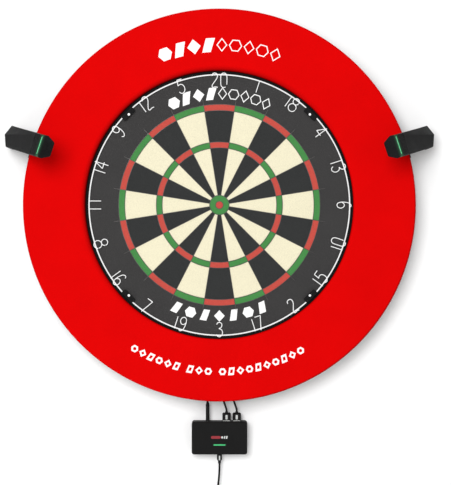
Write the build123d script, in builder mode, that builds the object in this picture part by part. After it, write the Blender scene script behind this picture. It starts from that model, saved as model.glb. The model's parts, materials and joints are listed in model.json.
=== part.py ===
from build123d import *
import os
from math import cos, sin, radians

"""Automatic-scoring dartboard set: a bristle dartboard in a round foam surround, two camera arms
that lean in over the surround, and a small control box below, all on one wall frame.

Frame: millimetres, +Z up. The origin is where the bull's axis meets the wall. The wall is the plane
Y = 0 and the player stands at -Y. Left and right are as the player sees them: right is +X.

Prefixes: H_ is a distance in front of the wall (-Y), R_ a radius or a distance from the bull's axis,
T_ a thickness, W_ a width. S_ and N_ are stations along the leaning arm and depths across it.
"""

os.makedirs("parts", exist_ok=True)

CUT = Mode.SUBTRACT

# ---- dartboard ----
R_BOARD = 225.5        # outside of the steel rim band
T_RIM = 0.8
FIT = 0.1              # clearance between the band and what it holds
R_FILL = R_BOARD - T_RIM - FIT
R_LIP = 221.9          # the band's front edge is turned in to here
T_LIP = 1.4
LIP_PROUD = 0.2        # the lip stands this far in front of the face
H_BACK = 20.0          # back of the board
T_BACKING = 12.0
H_CORE = 50.0          # front of the undyed sisal core
H_FACE = 58.0          # front of the dyed sisal face
T_FACE = H_FACE - H_CORE
H_LIP = H_FACE - T_LIP + LIP_PROUD
R_DOUBLE_OUT = 170.0
R_DOUBLE_IN = 159.5
R_TREBLE_OUT = 106.5
R_TREBLE_IN = 96.5
R_BULL_OUT = 16.5
R_BULL_IN = 6.35
R_WHISKER = 180.0      # the radial blades run a little past the doubles
BLADE = 0.8            # spider blade thickness
GAP = 1.0              # slit in the sisal that a blade sits in
BLADE_PROUD = 0.8      # the blade edge stands this far out of the sisal
SECTORS = 20
SECTOR_DEG = 360 / SECTORS

# ---- number ring ----
R_RING = 219.5         # centre line of the ring wire
W_RING = 2.4
W_DIGIT = 1.9          # numeral wire width
H_RING = 60.0          # back of the ring wire
T_RING = 2.2
T_CLIP = 6.0
R_PIN = 215.4          # clip pins, on four diagonals

# ---- surround ----
R_SURROUND = 331.8
R_SURROUND_IN = 226.0
H_SURROUND_BACK = 20.0
H_SURROUND_FRONT = 60.0
SURROUND_ROUNDING = 4.0

# ---- wall frame ----
T_PLATE = 3.0
R_PLATE = 110.0
W_LEG = 46.0
LEG_SIDE_REACH = 340.0
LEG_DOWN_REACH = 302.0
WALL_HOLE_CIRCLE = 160.0   # diameter through the wall screw holes
R_WALL_HOLE = 2.75
H_HANGER = 9.5             # back of the hanger's slotted plate
T_HANGER = 2.0
HANGER_W = 48.0            # over the two webs
HANGER_TALL = 44.0
HANGER_FOOT_W = 20.0
R_BOLT = 3.0
R_SLOT = 3.06              # round end of the slot that takes the bolt
T_FLANGE = 4.0             # screw flange of an arm socket
R_SCREW = 1.6              # frame screws
R_SCREW_HEAD = 3.6
R_PLATE_HOLE = 1.7
R_FLANGE_HOLE = 2.1

# ---- camera arms ----
ARM_DEG = 18.0         # angle above the horizontal, on the middle of a sector
SIDE_ANGLES = (ARM_DEG, 180 - ARM_DEG)   # right arm, left arm
ARM_LEAN = 0.6336      # inward travel per millimetre of height
H_KNEE = 40.0          # the foot goes straight up to here, then the arm leans inward
R_KNEE = 376.7         # outer face at the knee
ARM_DEPTH = 27.2       # depth of the arm along r at one height
S_CAP = 102.0          # where the head cap starts
S_TIP = 135.8          # tip, at the crest
S_LIGHT = 130.6        # light strip
S_LENS = 115.8
TONGUE_CLEAR = 0.3
H_TONGUE = 5.5
T_TONGUE = 9.5
W_TONGUE = 24.0

# ---- control box ----
BOX_W = 95.0
BOX_TALL = 56.0
BOX_Z = -397.6         # centre height
BOX_TOP = BOX_Z + BOX_TALL / 2
BOX_BOTTOM = BOX_Z - BOX_TALL / 2
BOX_WALL = 2.0
BOX_OUTER = (BOX_W, BOX_TALL, 4.2)   # width, height, corner radius
BOX_INNER = (BOX_W - 2 * BOX_WALL, BOX_TALL - 2 * BOX_WALL, 2.6)
H_BOX_BACK = 1.0
H_PORT = 13.1          # middle of the top ports
H_PART = H_PORT        # the box parts through the middle of the top ports
H_BOX_FRONT = 26.0
H_PCB = 8.55
T_PCB = 1.6
H_PCB_TOP = H_PCB + T_PCB
H_POWER = H_PCB_TOP + 1.35
X_DC = -20.4
X_USB_LEFT = 12.1
X_USB_RIGHT = 29.6
USB_PORTS = [(X_USB_LEFT, H_PORT), (X_USB_RIGHT, H_PORT)]

# ---- leads ----
R_LEAD = 1.7
R_DC_LEAD = 1.9
LEAD_FIT = 0.02        # radial clearance of a lead in its grip
H_LEAD = 10.2          # the leads run at this height, behind the surround
X_COMB_DC = -21.0      # lead positions in the cable comb
X_COMB_LEFT = 0.5
X_COMB_RIGHT = 18.0
Z_COMB = -288.0


# ========================================= shared helpers ========================================
def wall_plane(height, angle=0.0):
    """Plane parallel to the wall, facing the player. Local x is turned up by angle."""
    turn = radians(angle)
    return Plane(origin=(0, -height, 0), x_dir=(cos(turn), 0, sin(turn)), z_dir=(0, -1, 0))


def level_plane(z):
    """Horizontal plane facing down: local x is X, local y is the distance in front of the wall."""
    return Plane(origin=(0, 0, z), x_dir=(1, 0, 0), z_dir=(0, 0, -1))


def on_leg(radius, across, angle):
    """(x, z) of a point at radius along a leg turned up by angle, and across it."""
    turn = radians(angle)
    return (
        radius * cos(turn) - across * sin(turn),
        radius * sin(turn) + across * cos(turn),
    )


def annulus(outer, inner):
    """Disc with a concentric hole, drawn in the sketch that is open."""
    Circle(outer)
    Circle(inner, mode=CUT)


def write(piece, label):
    piece.label = label
    export_step(piece, f"parts/{label}.step")


def write_pair(piece, label):
    """Write a right-hand piece and its mirror image on the left."""
    write(piece, f"{label}_right")
    write(mirror(piece, about=Plane.YZ, mode=Mode.PRIVATE), f"{label}_left")


# ========================================= dartboard =============================================
with BuildPart() as board_backing:
    with BuildSketch(wall_plane(H_BACK)):
        annulus(R_FILL, 3.05)
    extrude(amount=T_BACKING)
write(board_backing.part, "board_backing")

with BuildPart() as board_band:
    with BuildSketch(wall_plane(H_BACK)):
        annulus(R_BOARD, R_BOARD - T_RIM)
    extrude(amount=H_FACE - H_BACK)
    with BuildSketch(wall_plane(H_LIP)):
        annulus(R_BOARD, R_LIP)
    extrude(amount=T_LIP)
write(board_band.part, "board_band")

with BuildPart() as sisal_core:
    with BuildSketch(wall_plane(H_BACK + T_BACKING)):
        Circle(R_FILL)
    extrude(amount=H_CORE - H_BACK - T_BACKING)
write(sisal_core.part, "sisal_core")


def wedge(extra):
    """Corners of one sector, centred on local +x, grown by extra on each side."""
    half = radians(SECTOR_DEG / 2)
    length = 300.0     # beyond the board's edge
    apex = -extra / sin(half)
    far_x = apex + length * cos(half)
    far_y = length * sin(half)
    return [(apex, 0), (far_x, far_y), (far_x, -far_y)]


def dyed_face(bands, cut_angle, bull_radii=()):
    """Bands (outer, inner) with every other sector taken out, starting with the one at cut_angle.

    bull_radii holds the outer radius of a full bull bed and, for a ring, its inner radius.
    """
    with BuildPart() as face:
        with BuildSketch(wall_plane(H_CORE)):
            for outer, inner in bands:
                annulus(outer - GAP / 2, inner + GAP / 2)
            with PolarLocations(0, SECTORS // 2, start_angle=cut_angle):
                Polygon(*wedge(GAP / 2), align=None, mode=CUT)
            for radius in bull_radii[:1]:
                Circle(radius - GAP / 2)
            for radius in bull_radii[1:]:
                Circle(radius + GAP / 2, mode=CUT)
        extrude(amount=T_FACE)
    return face.part


SINGLES = [(R_DOUBLE_IN, R_TREBLE_OUT), (R_TREBLE_IN, R_BULL_OUT)]
SCORING_RINGS = [(R_DOUBLE_OUT, R_DOUBLE_IN), (R_TREBLE_OUT, R_TREBLE_IN)]
TOP_SECTOR = 90
NEXT_SECTOR = TOP_SECTOR + SECTOR_DEG
write(dyed_face(SINGLES, NEXT_SECTOR), "face_black_sectors")
write(dyed_face(SINGLES, TOP_SECTOR), "face_cream_sectors")
write(dyed_face(SCORING_RINGS, NEXT_SECTOR, (R_BULL_IN,)), "face_red_beds")
write(dyed_face(SCORING_RINGS, TOP_SECTOR, (R_BULL_OUT, R_BULL_IN)), "face_green_beds")

# sisal outside the doubles, with slits for the blade ends and holes for the clip pins
with BuildPart() as face_outer_band:
    with BuildSketch(wall_plane(H_CORE)):
        annulus(R_FILL, R_DOUBLE_OUT + GAP / 2)
        with PolarLocations((R_WHISKER + R_DOUBLE_OUT) / 2, SECTORS, start_angle=SECTOR_DEG / 2):
            Rectangle(R_WHISKER - R_DOUBLE_OUT + 1.0, GAP, mode=CUT)
        with PolarLocations(R_PIN, 4, start_angle=45):
            Circle(1.35, mode=CUT)
    extrude(amount=T_FACE)
    # step under the band's lip
    with BuildSketch(wall_plane(H_LIP - FIT)):
        annulus(R_BOARD, R_LIP - FIT)
    extrude(amount=5.0, mode=CUT)
write(face_outer_band.part, "face_outer_band")

with BuildPart() as spider:
    with BuildSketch(wall_plane(H_CORE)):
        for r in (R_DOUBLE_OUT, R_DOUBLE_IN, R_TREBLE_OUT, R_TREBLE_IN, R_BULL_OUT, R_BULL_IN):
            annulus(r + BLADE / 2, r - BLADE / 2)
        with PolarLocations((R_WHISKER + R_BULL_OUT) / 2, SECTORS, start_angle=SECTOR_DEG / 2):
            Rectangle(R_WHISKER - R_BULL_OUT, BLADE)
    extrude(amount=T_FACE + BLADE_PROUD)
write(spider.part, "spider")

# bolt whose head sits behind the hanger's slotted plate
T_BOLT_HEAD = 3.1
HANGER_GAP = 0.2       # between the slotted plate and the bolt head or the spacer
H_BOLT_SHANK = H_HANGER - HANGER_GAP
H_BOLT_HEAD = H_BOLT_SHANK - T_BOLT_HEAD
with BuildPart() as centre_bolt:
    with BuildSketch(wall_plane(H_BOLT_HEAD)):
        Circle(7.0)
    extrude(amount=T_BOLT_HEAD)
    with BuildSketch(wall_plane(H_BOLT_SHANK)):
        Circle(R_BOLT)
    extrude(amount=21.7)
    with BuildSketch(wall_plane(H_BOLT_HEAD)):
        RegularPolygon(2.4, 6)
    extrude(amount=2.0, mode=CUT)
write(centre_bolt.part, "centre_bolt")

H_SPACER = H_HANGER + T_HANGER + HANGER_GAP
with BuildPart() as centre_spacer:
    with BuildSketch(wall_plane(H_SPACER)):
        annulus(12.0, 3.1)
    extrude(amount=H_BACK - H_SPACER)
write(centre_spacer.part, "centre_spacer")

# ========================================= number ring ===========================================
NUMBERS = [20, 1, 18, 4, 13, 6, 10, 15, 2, 17, 3, 19, 7, 16, 8, 11, 14, 9, 12, 5]  # clockwise
DIGIT_TALL = 24.5
R_DIGIT_OUT = R_RING + 2.8     # outer end of the numerals
DIGIT_GAP = 4.6
GAP_AFTER_ONE = 5.4
GAP_IN_ELEVEN = 13.5


def arc_points(centre_x, centre_y, radius, start, end):
    """Nine points evenly spaced on an arc, angles in degrees."""
    angles = [radians(start + (end - start) * i / 8) for i in range(9)]
    return [(centre_x + radius * cos(a), centre_y + radius * sin(a)) for a in angles]


SIX_BACK = [(9.4, 21.4), (7.6, 23.8), (4.8, 23.6), (2.0, 20.2),
            (0.6, 13.6), (0.6, 6.8), (2.2, 2.0), (5.6, 0.1)]
SIX_LOOP = [(5.6, 0.1), (9.2, 2.2), (10.6, 6.6), (9.0, 11.0), (5.6, 12.8), (2.4, 11.2), (0.9, 8.6)]

# Each numeral: its width and its strokes of (x, y) points from its lower left corner.
# A Polyline is straight runs, a Spline a smooth bend through the points.
DIGITS = {
    "0": (11.0, [
        (Spline, [(10.6, 5.0), (10.8, 12.0), (10.6, 19.5), (8.6, 23.4), (5.4, 24.4), (2.2, 23.2),
                  (0.5, 19.5), (0.3, 12.0), (0.5, 5.0), (2.2, 1.3), (5.4, 0.1), (8.4, 0.9)]),
    ]),
    "1": (0.0, [(Polyline, [(0, 1.5), (0, 22.3)])]),
    "2": (10.4, [
        (Spline, [(0.6, 19.8), (1.8, 23.2), (5.0, 24.5), (8.6, 23.2), (9.8, 19.6), (8.4, 15.0),
                  (4.6, 9.6), (1.2, 4.4), (0.8, 1.6), (2.6, 0.3), (6.0, 1.2), (10.4, 0.5)]),
    ]),
    "3": (10.6, [
        (Spline, [(0.8, 20.8), (2.4, 23.7), (5.6, 24.5), (8.8, 22.8), (9.6, 19.4), (8.0, 15.9),
                  (4.6, 14.0)]),
        (Spline, [(4.2, 14.0), (8.6, 12.4), (10.6, 8.0), (9.6, 3.4), (6.0, 0.4), (2.4, 1.2),
                  (0.4, 4.2)]),
    ]),
    "4": (11.2, [
        (Polyline, [(8.2, 0.5), (8.2, 24.0)]),
        (Polyline, [(8.2, 24.0), (0.4, 8.6), (11.2, 8.6)]),
    ]),
    "5": (10.8, [
        (Polyline, [(10.0, 24.0), (2.0, 24.0), (1.2, 14.0)]),
        (Spline, [(1.2, 14.4), (5.0, 15.8), (9.0, 14.0), (10.8, 9.0), (9.6, 3.6), (5.6, 0.4),
                  (2.0, 1.4), (0.3, 4.0)]),
    ]),
    "6": (10.6, [(Spline, SIX_BACK), (Spline, SIX_LOOP)]),
    "7": (10.4, [(Polyline, [(0.3, 24.0), (10.4, 24.0), (4.2, 0.2)])]),
    "8": (11.6, [
        (Spline, arc_points(5.8, 18.9, 5.3, -100, 80)),
        (Spline, arc_points(5.8, 18.9, 5.3, 70, 280)),
        (Spline, arc_points(5.8, 7.0, 6.6, -100, 100)),
        (Spline, arc_points(5.8, 7.0, 6.6, 90, 270)),
    ]),
    # a six turned half round
    "9": (10.6, [
        (Spline, [(11.2 - x, DIGIT_TALL - y) for x, y in part]) for part in (SIX_BACK, SIX_LOOP)
    ]),
}


def numeral_strokes(number, angle):
    """Strokes of one number, centred on angle, in wall coordinates.

    From 11 over the top to 6 the numeral's top points outward, below that inward.
    """
    upper = -1 < ((angle + 90) % 360) - 90 < 181
    facing = 1 if upper else -1
    turn = radians(angle)
    text = str(number)

    # set the digits side by side
    pen = 0.0
    placed = []
    for place, char in enumerate(text):
        width, strokes = DIGITS[char]
        placed += [(curve, [(pen + x, y) for x, y in points]) for curve, points in strokes]
        pen += width
        if place < len(text) - 1:
            if text == "11":
                pen += GAP_IN_ELEVEN
            else:
                pen += GAP_AFTER_ONE if char == "1" else DIGIT_GAP

    def on_wall(x, y):
        clockwise = facing * (x - pen / 2)
        radius = R_DIGIT_OUT - (DIGIT_TALL - y if upper else y)
        return (
            radius * cos(turn) + clockwise * sin(turn),
            radius * sin(turn) - clockwise * cos(turn),
        )

    return [(curve, [on_wall(x, y) for x, y in points]) for curve, points in placed]


with BuildPart() as number_ring:
    with BuildSketch(wall_plane(H_RING)):
        annulus(R_RING + W_RING / 2, R_RING - W_RING / 2)
        for k, number in enumerate(NUMBERS):
            for curve, points in numeral_strokes(number, 90 - SECTOR_DEG * k):
                with BuildLine() as stroke:
                    curve(*points)
                trace(stroke.line, line_width=W_DIGIT)
    extrude(amount=T_RING)
write(number_ring.part, "number_ring")

# blocks that hold the ring wire in a groove
with BuildPart() as ring_clips:
    with BuildSketch(wall_plane(H_FACE)):
        with PolarLocations(R_RING - 2.6, 4, start_angle=45):
            RectangleRounded(9.0, 25.0, 2.5)
    extrude(amount=T_CLIP)
    with BuildSketch(wall_plane(H_RING - 0.2)):
        annulus(R_RING + W_RING / 2 + 0.25, R_RING - W_RING / 2 - 0.25)
    extrude(amount=T_RING + 0.4, mode=CUT)
    with BuildSketch(wall_plane(H_FACE)):
        with PolarLocations(R_PIN, 4, start_angle=45):
            Circle(1.3)
    extrude(amount=T_CLIP, mode=CUT)
write(ring_clips.part, "ring_clips")

H_PIN = H_CORE + 0.5
with BuildPart() as clip_pins:
    for height, radius, length in (
        (H_PIN, 1.2, H_FACE + T_CLIP - H_PIN),   # shank
        (H_FACE + T_CLIP, 2.1, 1.0),             # head
    ):
        with BuildSketch(wall_plane(height)):
            with PolarLocations(R_PIN, 4, start_angle=45):
                Circle(radius)
        extrude(amount=length)
write(clip_pins.part, "clip_pins")

# ========================================= surround ==============================================
with BuildPart() as surround:
    with BuildSketch(wall_plane(H_SURROUND_BACK)):
        annulus(R_SURROUND, R_SURROUND_IN)
    extrude(amount=H_SURROUND_FRONT - H_SURROUND_BACK)
    front_edges = surround.faces().sort_by(Axis.Y)[0].edges()
    fillet(front_edges, radius=SURROUND_ROUNDING)
write(surround.part, "surround")

# ========================================= wall frame ============================================
SOCKET_SCREWS = [(288.0, 10.5), (288.0, -10.5)]   # (along the leg, across it)
HANGER_SCREWS = [(33.0, 13.0), (33.0, -13.0), (-33.0, 13.0), (-33.0, -13.0)]   # (x, z)
LEGS = [(angle, LEG_SIDE_REACH) for angle in SIDE_ANGLES] + [(270, LEG_DOWN_REACH)]

with BuildPart() as wall_plate:
    with BuildSketch(wall_plane(0)):
        Circle(R_PLATE)
        for angle, reach in LEGS:
            with Locations(Location(on_leg(reach / 2, 0, angle), angle)):
                Rectangle(reach, W_LEG)
        with PolarLocations(WALL_HOLE_CIRCLE / 2, 4, start_angle=45):
            Circle(R_WALL_HOLE, mode=CUT)
        with Locations(*HANGER_SCREWS):
            Circle(R_PLATE_HOLE, mode=CUT)
        for angle in SIDE_ANGLES:
            for along, across in SOCKET_SCREWS:
                with Locations(on_leg(along, across, angle)):
                    Circle(R_PLATE_HOLE, mode=CUT)
    extrude(amount=T_PLATE)
write(wall_plate.part, "wall_plate")

X_HANGER_WEB = HANGER_W / 2 - T_HANGER / 2
X_HANGER_FOOT = HANGER_W / 2 - T_HANGER + HANGER_FOOT_W / 2
with BuildPart() as hanger_bracket:
    with BuildSketch(wall_plane(T_PLATE)):
        with Locations((X_HANGER_FOOT, 0), (-X_HANGER_FOOT, 0)):
            Rectangle(HANGER_FOOT_W, HANGER_TALL)
    extrude(amount=T_HANGER)
    with BuildSketch(wall_plane(T_PLATE)):
        with Locations((X_HANGER_WEB, 0), (-X_HANGER_WEB, 0)):
            Rectangle(T_HANGER, HANGER_TALL)
    extrude(amount=H_HANGER + T_HANGER - T_PLATE)
    with BuildSketch(wall_plane(H_HANGER)):
        Rectangle(HANGER_W, HANGER_TALL)
    extrude(amount=T_HANGER)
    # slot for the bolt, open at the top, where it flares
    with BuildSketch(wall_plane(H_HANGER)):
        Circle(R_SLOT)
        with Locations((0, 15.0)):
            Rectangle(2 * R_SLOT, 30.0)
        Polygon((-6.5, 22.5), (6.5, 22.5), (R_SLOT, 13.0), (-R_SLOT, 13.0), align=None)
    extrude(amount=T_HANGER, mode=CUT)
    with BuildSketch(wall_plane(T_PLATE)):
        with Locations(*HANGER_SCREWS):
            Circle(R_FLANGE_HOLE)
    extrude(amount=T_HANGER, mode=CUT)
write(hanger_bracket.part, "hanger_bracket")

with BuildPart() as support_pads:
    with BuildSketch(wall_plane(T_PLATE)):
        with PolarLocations(95.0, 4):
            Circle(9.0)
    extrude(amount=H_BACK - T_PLATE - 0.2)
write(support_pads.part, "support_pads")


def right_plane(height):
    """Plane parallel to the wall with local x along the right arm."""
    return wall_plane(height, ARM_DEG)


# sockets that take the arms' tongues, with a flange screwed to the frame's legs
W_SOCKET = 34.0
SOCKET_LENGTH = 42.0
R_SOCKET = 317.0       # middle of the socket
with BuildPart() as arm_socket:
    with BuildSketch(right_plane(T_PLATE)):
        with Locations((R_SOCKET, 0)):
            Rectangle(SOCKET_LENGTH, W_SOCKET)
    extrude(amount=14.5)
    with BuildSketch(right_plane(T_PLATE)):
        with Locations((288.5, 0)):
            Rectangle(17.0, W_SOCKET)
    extrude(amount=T_FLANGE)
    # pocket, open at the outer end
    with BuildSketch(right_plane(H_TONGUE - TONGUE_CLEAR)):
        with Locations((R_SOCKET + 4.0, 0)):
            Rectangle(SOCKET_LENGTH, W_TONGUE + 2 * TONGUE_CLEAR)
    extrude(amount=T_TONGUE + 2 * TONGUE_CLEAR, mode=CUT)
    with BuildSketch(right_plane(T_PLATE)):
        with Locations(*SOCKET_SCREWS):
            Circle(R_FLANGE_HOLE)
    extrude(amount=T_FLANGE, mode=CUT)
    # opening for the leads in the wall that faces the board
    with BuildSketch(right_plane(H_LEAD - 2.1)):
        with Locations((297.0, 0)):
            Rectangle(8.0, 13.0)
    extrude(amount=4.2, mode=CUT)
write_pair(arm_socket.part, "arm_socket")

H_SCREW_END = 0.3
# angle of the plane, screw positions on it, height the heads sit at
SCREW_GROUPS = [(0, HANGER_SCREWS, T_PLATE + T_HANGER)]
SCREW_GROUPS += [(angle, SOCKET_SCREWS, T_PLATE + T_FLANGE) for angle in SIDE_ANGLES]
with BuildPart() as frame_screws:
    for angle, places, height in SCREW_GROUPS:
        with BuildSketch(wall_plane(H_SCREW_END, angle)):
            with Locations(*places):
                Circle(R_SCREW)
        extrude(amount=height - H_SCREW_END)
        with BuildSketch(wall_plane(height, angle)):
            with Locations(*places):
                Circle(R_SCREW_HEAD)
        extrude(amount=2.2)
write(frame_screws.part, "frame_screws")

T_SURROUND_PAD = 2.5
with BuildPart() as surround_pads:
    for angle in SIDE_ANGLES:
        with BuildSketch(wall_plane(H_SURROUND_BACK - T_SURROUND_PAD, angle)):
            with Locations((314.0, 0)):
                RectangleRounded(28.0, 26.0, 3.0)
        extrude(amount=T_SURROUND_PAD)
write(surround_pads.part, "surround_pads")

COMB_DEPTH = 12.0      # along the leads
with BuildPart() as cable_comb:
    with BuildSketch(wall_plane(T_PLATE)):
        with Locations((0, Z_COMB)):
            RectangleRounded(54.0, COMB_DEPTH, 2.0)
    extrude(amount=13.0)
    for x, radius in ((X_COMB_DC, R_DC_LEAD), (X_COMB_LEFT, R_LEAD), (X_COMB_RIGHT, R_LEAD)):
        with BuildSketch(wall_plane(H_LEAD - radius - 0.05)):
            with Locations((x, Z_COMB)):
                Rectangle(2 * radius + 0.2, COMB_DEPTH)
        extrude(amount=8.0, mode=CUT)
write(cable_comb.part, "cable_comb")

# ========================================= camera arms ===========================================
# The right arm is modelled and the left one mirrored from it.
LEAN_LENGTH = (1 + ARM_LEAN**2) ** 0.5
ALONG_R, ALONG_H = -ARM_LEAN / LEAN_LENGTH, 1 / LEAN_LENGTH   # along the leaning arm, in (r, h)
OUT_R, OUT_H = 1 / LEAN_LENGTH, ARM_LEAN / LEAN_LENGTH        # outward normal of its outer face


def arm_vector(radius, height):
    turn = radians(ARM_DEG)
    return Vector(radius * cos(turn), -height, radius * sin(turn))


ALONG = arm_vector(ALONG_R, ALONG_H)
OUTWARD = arm_vector(OUT_R, OUT_H)
UP_ACROSS = Vector(-sin(radians(ARM_DEG)), 0, cos(radians(ARM_DEG)))   # square to the arm's plane


def arm_point(station, depth=0.0):
    return arm_vector(
        R_KNEE + station * ALONG_R + depth * OUT_R,
        H_KNEE + station * ALONG_H + depth * OUT_H,
    )


def section_plane(station):
    """Across the leaning arm: local x is the outward normal, local y is across the arm."""
    return Plane(origin=arm_point(station), x_dir=OUTWARD, z_dir=ALONG)


def face_plane(station, depth):
    """Along the leaning arm: local x is the arm's own direction, the normal points outward."""
    return Plane(origin=arm_point(station, depth), x_dir=ALONG, z_dir=OUTWARD)


side_plane = Plane(origin=(0, 0, 0), x_dir=arm_vector(1, 0), z_dir=-UP_ACROSS)   # local (r, h)
length_plane = Plane(origin=arm_point(0), x_dir=ALONG, z_dir=UP_ACROSS)   # local (station, depth)


def outline_at(radius, points):
    """Outline in (r, across) from points given relative to the outer face's radius."""
    return [(radius + x, y) for x, y in points]


H_HEAD = 134.0         # height of the uppermost outline
R_HEAD = R_KNEE - ARM_LEAN * (H_HEAD - H_KNEE)
# outlines of the arm and its cavity, parallel to the wall: (r from the outer face, across)
FOOT = outline_at(R_KNEE, [
    (0.6, 19.8), (7.5, 1.8), (0.3, -16.3), (-0.8, -17.7), (-9.0, -18.0),
    (-ARM_DEPTH, -10.5), (-ARM_DEPTH, 11.5), (-9.0, 19.9),
])
HEAD = outline_at(R_HEAD, [
    (0, 17.6), (0.3, 16.2), (0, -10.0), (-5.6, -18.6), (-8.9, -19.2),
    (-ARM_DEPTH, -11.2), (-ARM_DEPTH, 10.8), (-8.9, 19.1),
])
FOOT_IN = outline_at(R_KNEE, [
    (-2.4, 16.2), (-1.6, -8.0), (-5.6, -13.4), (-ARM_DEPTH + 2.4, -8.2), (-ARM_DEPTH + 2.4, 9.0),
])
HEAD_IN = outline_at(R_HEAD, [
    (-2.8, 14.2), (-2.8, -8.6), (-8.6, -14.6), (-ARM_DEPTH + 2.7, -8.4), (-ARM_DEPTH + 2.7, 8.2),
])


def arm_body(sections):
    """Ruled body through (height, outline) sections."""
    with BuildPart() as body:
        for (low, low_outline), (high, high_outline) in zip(sections, sections[1:]):
            with BuildSketch(right_plane(low)):
                Polygon(*low_outline, align=None)
            with BuildSketch(right_plane(high)):
                Polygon(*high_outline, align=None)
            loft(ruled=True)
    return body.part


arm_solid = arm_body([(T_PLATE, FOOT), (H_KNEE, FOOT), (H_HEAD, HEAD)])
arm_cavity = arm_body([(5.4, FOOT_IN), (H_KNEE, FOOT_IN), (H_HEAD + 1, HEAD_IN)])

# the arm parts into an outer cover and an inner back shell on a bent line
R_PART = 362.0
PART_RISE = 140.0
H_PART_END = H_KNEE + PART_RISE
R_BEYOND = 430.0       # clear of the arm
with BuildPart() as outer_side:
    with BuildSketch(side_plane):
        Polygon(
            (R_PART, 0.0), (R_PART, H_KNEE), (R_PART - ARM_LEAN * PART_RISE, H_PART_END),
            (R_BEYOND, H_PART_END), (R_BEYOND, 0),
            align=None,
        )
    extrude(amount=40, both=True)

# everything from the head cap on
S_SHELL_END = S_CAP - 0.2
with BuildPart() as head_space:
    with BuildSketch(section_plane(S_SHELL_END)):
        Rectangle(120, 120)
    extrude(amount=60)

SCREW_STATIONS = (22.0, 88.0)
POSTS = [(107.5, 7.2), (107.5, -7.2), (124.0, 7.2), (124.0, -7.2)]   # (station, across)
N_BOARD = -10.5        # board-side face of the camera's circuit board
T_CAMERA_BOARD = 1.6
N_BOARD_OUT = N_BOARD + T_CAMERA_BOARD
N_HEAD_BACK = -22.98   # the head's surface on the dartboard's side
N_PLATE = -20.2        # inside of the plate that closes the head
W_PLATE_HALF = 9.2
N_RECESS = -23.2       # just beyond the head's surface
TIP_CORNER = 6.0       # rounding of the head's corners on the dartboard's side
HEAD_SECTION = [       # (depth, across)
    (0.0, 17.6), (0.25, 16.2), (0.25, -17.6), (-1.4, -19.0), (-7.5, -19.5),
    (N_HEAD_BACK, -11.4), (N_HEAD_BACK, 10.8), (-7.5, 19.2),
]


def head_outline(sketch):
    """Draw the rounded section of the head in the open sketch."""
    Polygon(*HEAD_SECTION, align=None)
    fillet(sketch.vertices().sort_by(Axis.X)[:2], radius=TIP_CORNER)


with BuildPart() as arm_cover:
    add(arm_solid)
    add(arm_cavity, mode=CUT)
    add(outer_side.part, mode=Mode.INTERSECT)
    # screw bosses
    for station in SCREW_STATIONS:
        with BuildSketch(face_plane(station, -12.5)):
            Circle(3.2)
        extrude(amount=11.5)
    for station in SCREW_STATIONS:
        with BuildSketch(face_plane(station, -12.6)):
            Circle(1.25)
        extrude(amount=8.0, mode=CUT)
    add(head_space.part, mode=CUT)
write_pair(arm_cover.part, "arm_cover")

with BuildPart() as arm_back_shell:
    add(arm_solid)
    add(arm_cavity, mode=CUT)
    add(outer_side.part, mode=CUT)
    add(head_space.part, mode=CUT)
    # plate that closes the head on the dartboard's side and carries the camera
    with BuildSketch(section_plane(S_CAP - 6.0)):
        Polygon(
            (N_PLATE, W_PLATE_HALF), (N_PLATE, -W_PLATE_HALF),
            (N_HEAD_BACK, -W_PLATE_HALF), (N_HEAD_BACK, W_PLATE_HALF),
            align=None,
        )
    extrude(amount=6.0)
    with BuildSketch(section_plane(S_SHELL_END)) as plate_section:
        head_outline(plate_section)
        with Locations((N_PLATE - 10.0, 0)):
            Rectangle(20.0, 60.0, mode=Mode.INTERSECT)
    extrude(amount=S_TIP - 2.3 - S_CAP)
    # tongue that slides into the frame's socket, its inner corners cut off
    with BuildSketch(right_plane(H_TONGUE)):
        with Locations((328.0, 0)):
            Rectangle(52.0, W_TONGUE)
    extrude(amount=T_TONGUE)
    with BuildSketch(right_plane(H_TONGUE)):
        with Locations((302.0, W_TONGUE / 2), (302.0, -W_TONGUE / 2)):
            Rectangle(5.0, 5.0, rotation=45)
    extrude(amount=T_TONGUE, mode=CUT)
    # screw bosses with counterbored holes
    for station in SCREW_STATIONS:
        with BuildSketch(face_plane(station, -21.5)):
            Circle(4.2)
        extrude(amount=8.8)
        with BuildSketch(face_plane(station, -24.0)):
            Circle(2.7)
        extrude(amount=4.0, mode=CUT)
        with BuildSketch(face_plane(station, -24.0)):
            Circle(1.6)
        extrude(amount=13.0, mode=CUT)
    # posts for the camera's circuit board
    for station, across in POSTS:
        with BuildSketch(face_plane(station, -20.4)):
            with Locations((0, across)):
                Circle(1.7)
        extrude(amount=9.9)
        with BuildSketch(face_plane(station, -15.0)):
            with Locations((0, across)):
                Circle(0.75)
        extrude(amount=6.0, mode=CUT)
    # recess for the window, then the opening behind it
    with BuildSketch(face_plane(S_LENS, N_RECESS)):
        RectangleRounded(18.4, 15.4, 3.0)
    extrude(amount=1.8, mode=CUT)
    with BuildSketch(face_plane(S_LENS, N_RECESS)):
        RectangleRounded(13.0, 12.0, 3.0)
    extrude(amount=4.0, mode=CUT)
write_pair(arm_back_shell.part, "arm_back_shell")

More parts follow.
